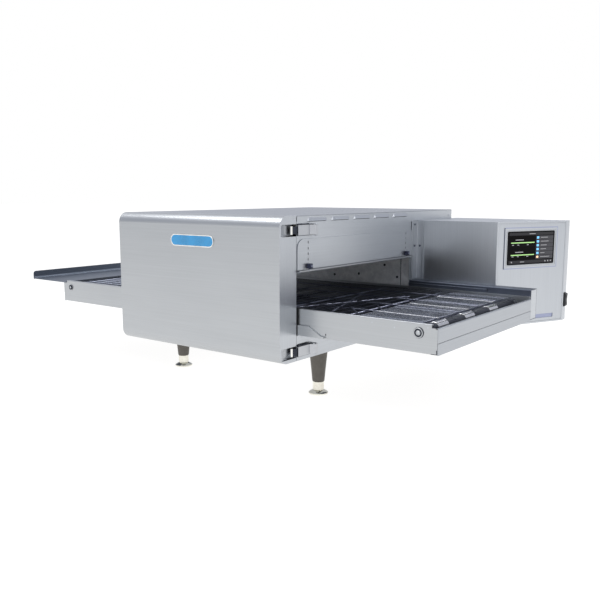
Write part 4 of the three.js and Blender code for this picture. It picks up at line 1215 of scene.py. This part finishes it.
def power_switch():
    """A ribbed rocker on the side of the control box."""
    lo, hi = span("power_switch")
    middle = (lo.z + hi.z) / 2
    outline = rounded([
        (hi.x - 4, lo.z), (hi.x - 5, middle), (hi.x - 3.5, hi.z), (610, hi.z - 1), (604.5, middle),
        (610, lo.z + 1),
    ], [4, 8, 4, 2, 2, 2], 5)
    rocker = prism("y", outline, lo.y, hi.y)
    ribs = [
        box(hi.x - 7, hi.x - 4.6 + 0.25 * abs(i), lo.y + 2.5, hi.y - 2.5,
            middle + i * 2.4 - 0.6, middle + i * 2.4 + 0.6)
        for i in range(-5, 6)
    ]
    piece("rocker", "power_switch", [(rocker, black_plastic, 1.2, 3), (ribs, black_plastic, 0.3)],
          ["power_switch"])


def controls():
    control_case()
    control_face()
    touch_screen()
    power_switch()
    dress("controller_board", board_green, 0.2)


# ---- Legs ----
def legs():
    """Tapered legs with a threaded foot, a bright collar and a domed flange."""
    for corner in ("front_left", "front_right", "rear_left", "rear_right"):
        lo, hi = span(corner + "_leg")
        axis = ((lo.x + hi.x) / 2, (lo.y + hi.y) / 2, 0)
        leg = turned("z", [
            (0, 72), (5.6, 72), (5.6, lo.z), (14.2, lo.z), (15, lo.z + 0.8), (17.4, 58),
            (22.2, hi.z - 3), (23, hi.z - 2.2), (23, hi.z), (0, hi.z),
        ], axis, 40)
        piece(corner + "_leg_cone", "oven", [(leg, leg_paint)], [corner + "_leg"])
        foot = turned("z", [
            (0, 0), (23.4, 0), (24.4, 1.2), (24.2, 3.4), (21, 6.2), (15.5, 8.8), (12.4, 10.4), (12.2, 12),
            (13.6, 12.4), (14, 13.2), (14, 30.2), (13.4, 31), (5, 31), (5, 65.4), (4.4, 66), (0, 66),
        ], axis, 40)
        piece(corner + "_foot_turned", corner + "_foot", [(foot, foot_steel)], [corner + "_foot"])


# ---- Studio, in metres ----
LAMPS = {  # place, aim, size and power
    "overhead": ((-0.6, -1.2, 2.6), (0, 0, 0.2), (3.0, 1.2), 46),
    "right": ((3.2, 0.2, 1.7), (0.2, 0, 0.2), (1.8, 1.6), 17),
    "rear": ((0.9, 2.4, 2.4), (0.3, 0, 0.2), (1.6, 0.5), 13),
}
SKY = [  # share of the way from straight down to straight up, and colour
    (0.00, (0.80, 0.80, 0.82)), (0.50, (0.78, 0.80, 0.84)), (0.58, (0.62, 0.64, 0.70)),
    (0.68, (0.54, 0.56, 0.64)), (0.82, (0.87, 0.89, 0.95)), (1.00, (0.95, 0.95, 0.95)),
]


def studio_floor():
    """A pale floor that shines a little, as a lit white paper does."""
    bm = bmesh.new()
    bmesh.ops.create_circle(bm, cap_ends=True, radius=30, segments=96)
    mesh = bpy.data.meshes.new("floor")
    bm.to_mesh(mesh)
    bm.free()
    material, tree, shader = new_material("floor_white", (0.15, 0.15, 0.15), 0.0, 0.9)
    fed(tree, shader, {
        "Emission Color": (1, 0.994, 0.985, 1), "Emission Strength": 0.94,
        "Base Color": tinted(tree, noise(tree, 3, 2), (0.145, 0.145, 0.145), (0.155, 0.155, 0.155)),
    })
    mesh.materials.append(material)
    shown("floor", mesh)


def lamps():
    """Soft rectangular lights."""
    for name, (place, target, size, power) in LAMPS.items():
        data = bpy.data.lights.new(name, "AREA")
        data.shape = "RECTANGLE"
        data.size, data.size_y = size
        data.energy = power
        lamp = shown(name, data)
        lamp.location = place
        aim = Vector(target) - Vector(place)
        lamp.rotation_euler = aim.to_track_quat("-Z", "Y").to_euler()


def sky():
    """A sky that is darker near the horizon, and plain white where the camera sees it."""
    world = bpy.data.worlds.new("studio")
    bpy.context.scene.world = world
    world.use_nodes = True
    tree = world.node_tree
    tree.nodes.clear()
    where = added_node(tree, "TexCoord")
    split = added_node(tree, "SeparateXYZ", {"Vector": where.outputs["Generated"]})
    height = added_node(tree, "MapRange", {"Value": split.outputs["Z"], "From Min": -1})
    ramp = added_node(tree, "ValToRGB", {"Fac": height.outputs["Result"]})
    while len(ramp.color_ramp.elements) < len(SKY):
        ramp.color_ramp.elements.new(0.5)
    for element, (position, colour) in zip(ramp.color_ramp.elements, SKY):
        element.position = position
        element.color = (*colour, 1)
    light = added_node(tree, "Background", {"Color": ramp.outputs["Color"], "Strength": 0.95})
    backdrop = added_node(tree, "Background", {"Color": (1, 1, 1, 1)})
    path = added_node(tree, "LightPath")
    mix = added_node(tree, "MixShader", {
        "Fac": path.outputs["Is Camera Ray"], 1: light.outputs["Background"],
        2: backdrop.outputs["Background"],
    })
    added_node(tree, "OutputWorld", {"Surface": mix.outputs["Shader"]})


def camera():
    """The photograph's view, found from its straight edges."""
    data = bpy.data.cameras.new("camera")
    data.lens = 43.5
    data.sensor_width = 36
    view = shown("camera", data)
    view.location = (1.3431, -1.6475, 0.4887)
    view.rotation_euler = (math.radians(90 - 8.44), 0, math.radians(37.55))
    bpy.context.scene.camera = view


bpy.context.scene.view_settings.view_transform = "Standard"
camera()
studio_floor()
lamps()
sky()
cabinet()
chamber()
for side_name in ("right", "left"):
    baffle(side_name)
    for place_name in KNOB_Y:
        knob(side_name, place_name)
conveyor()
exit_tray()
drive()
controls()
legs()
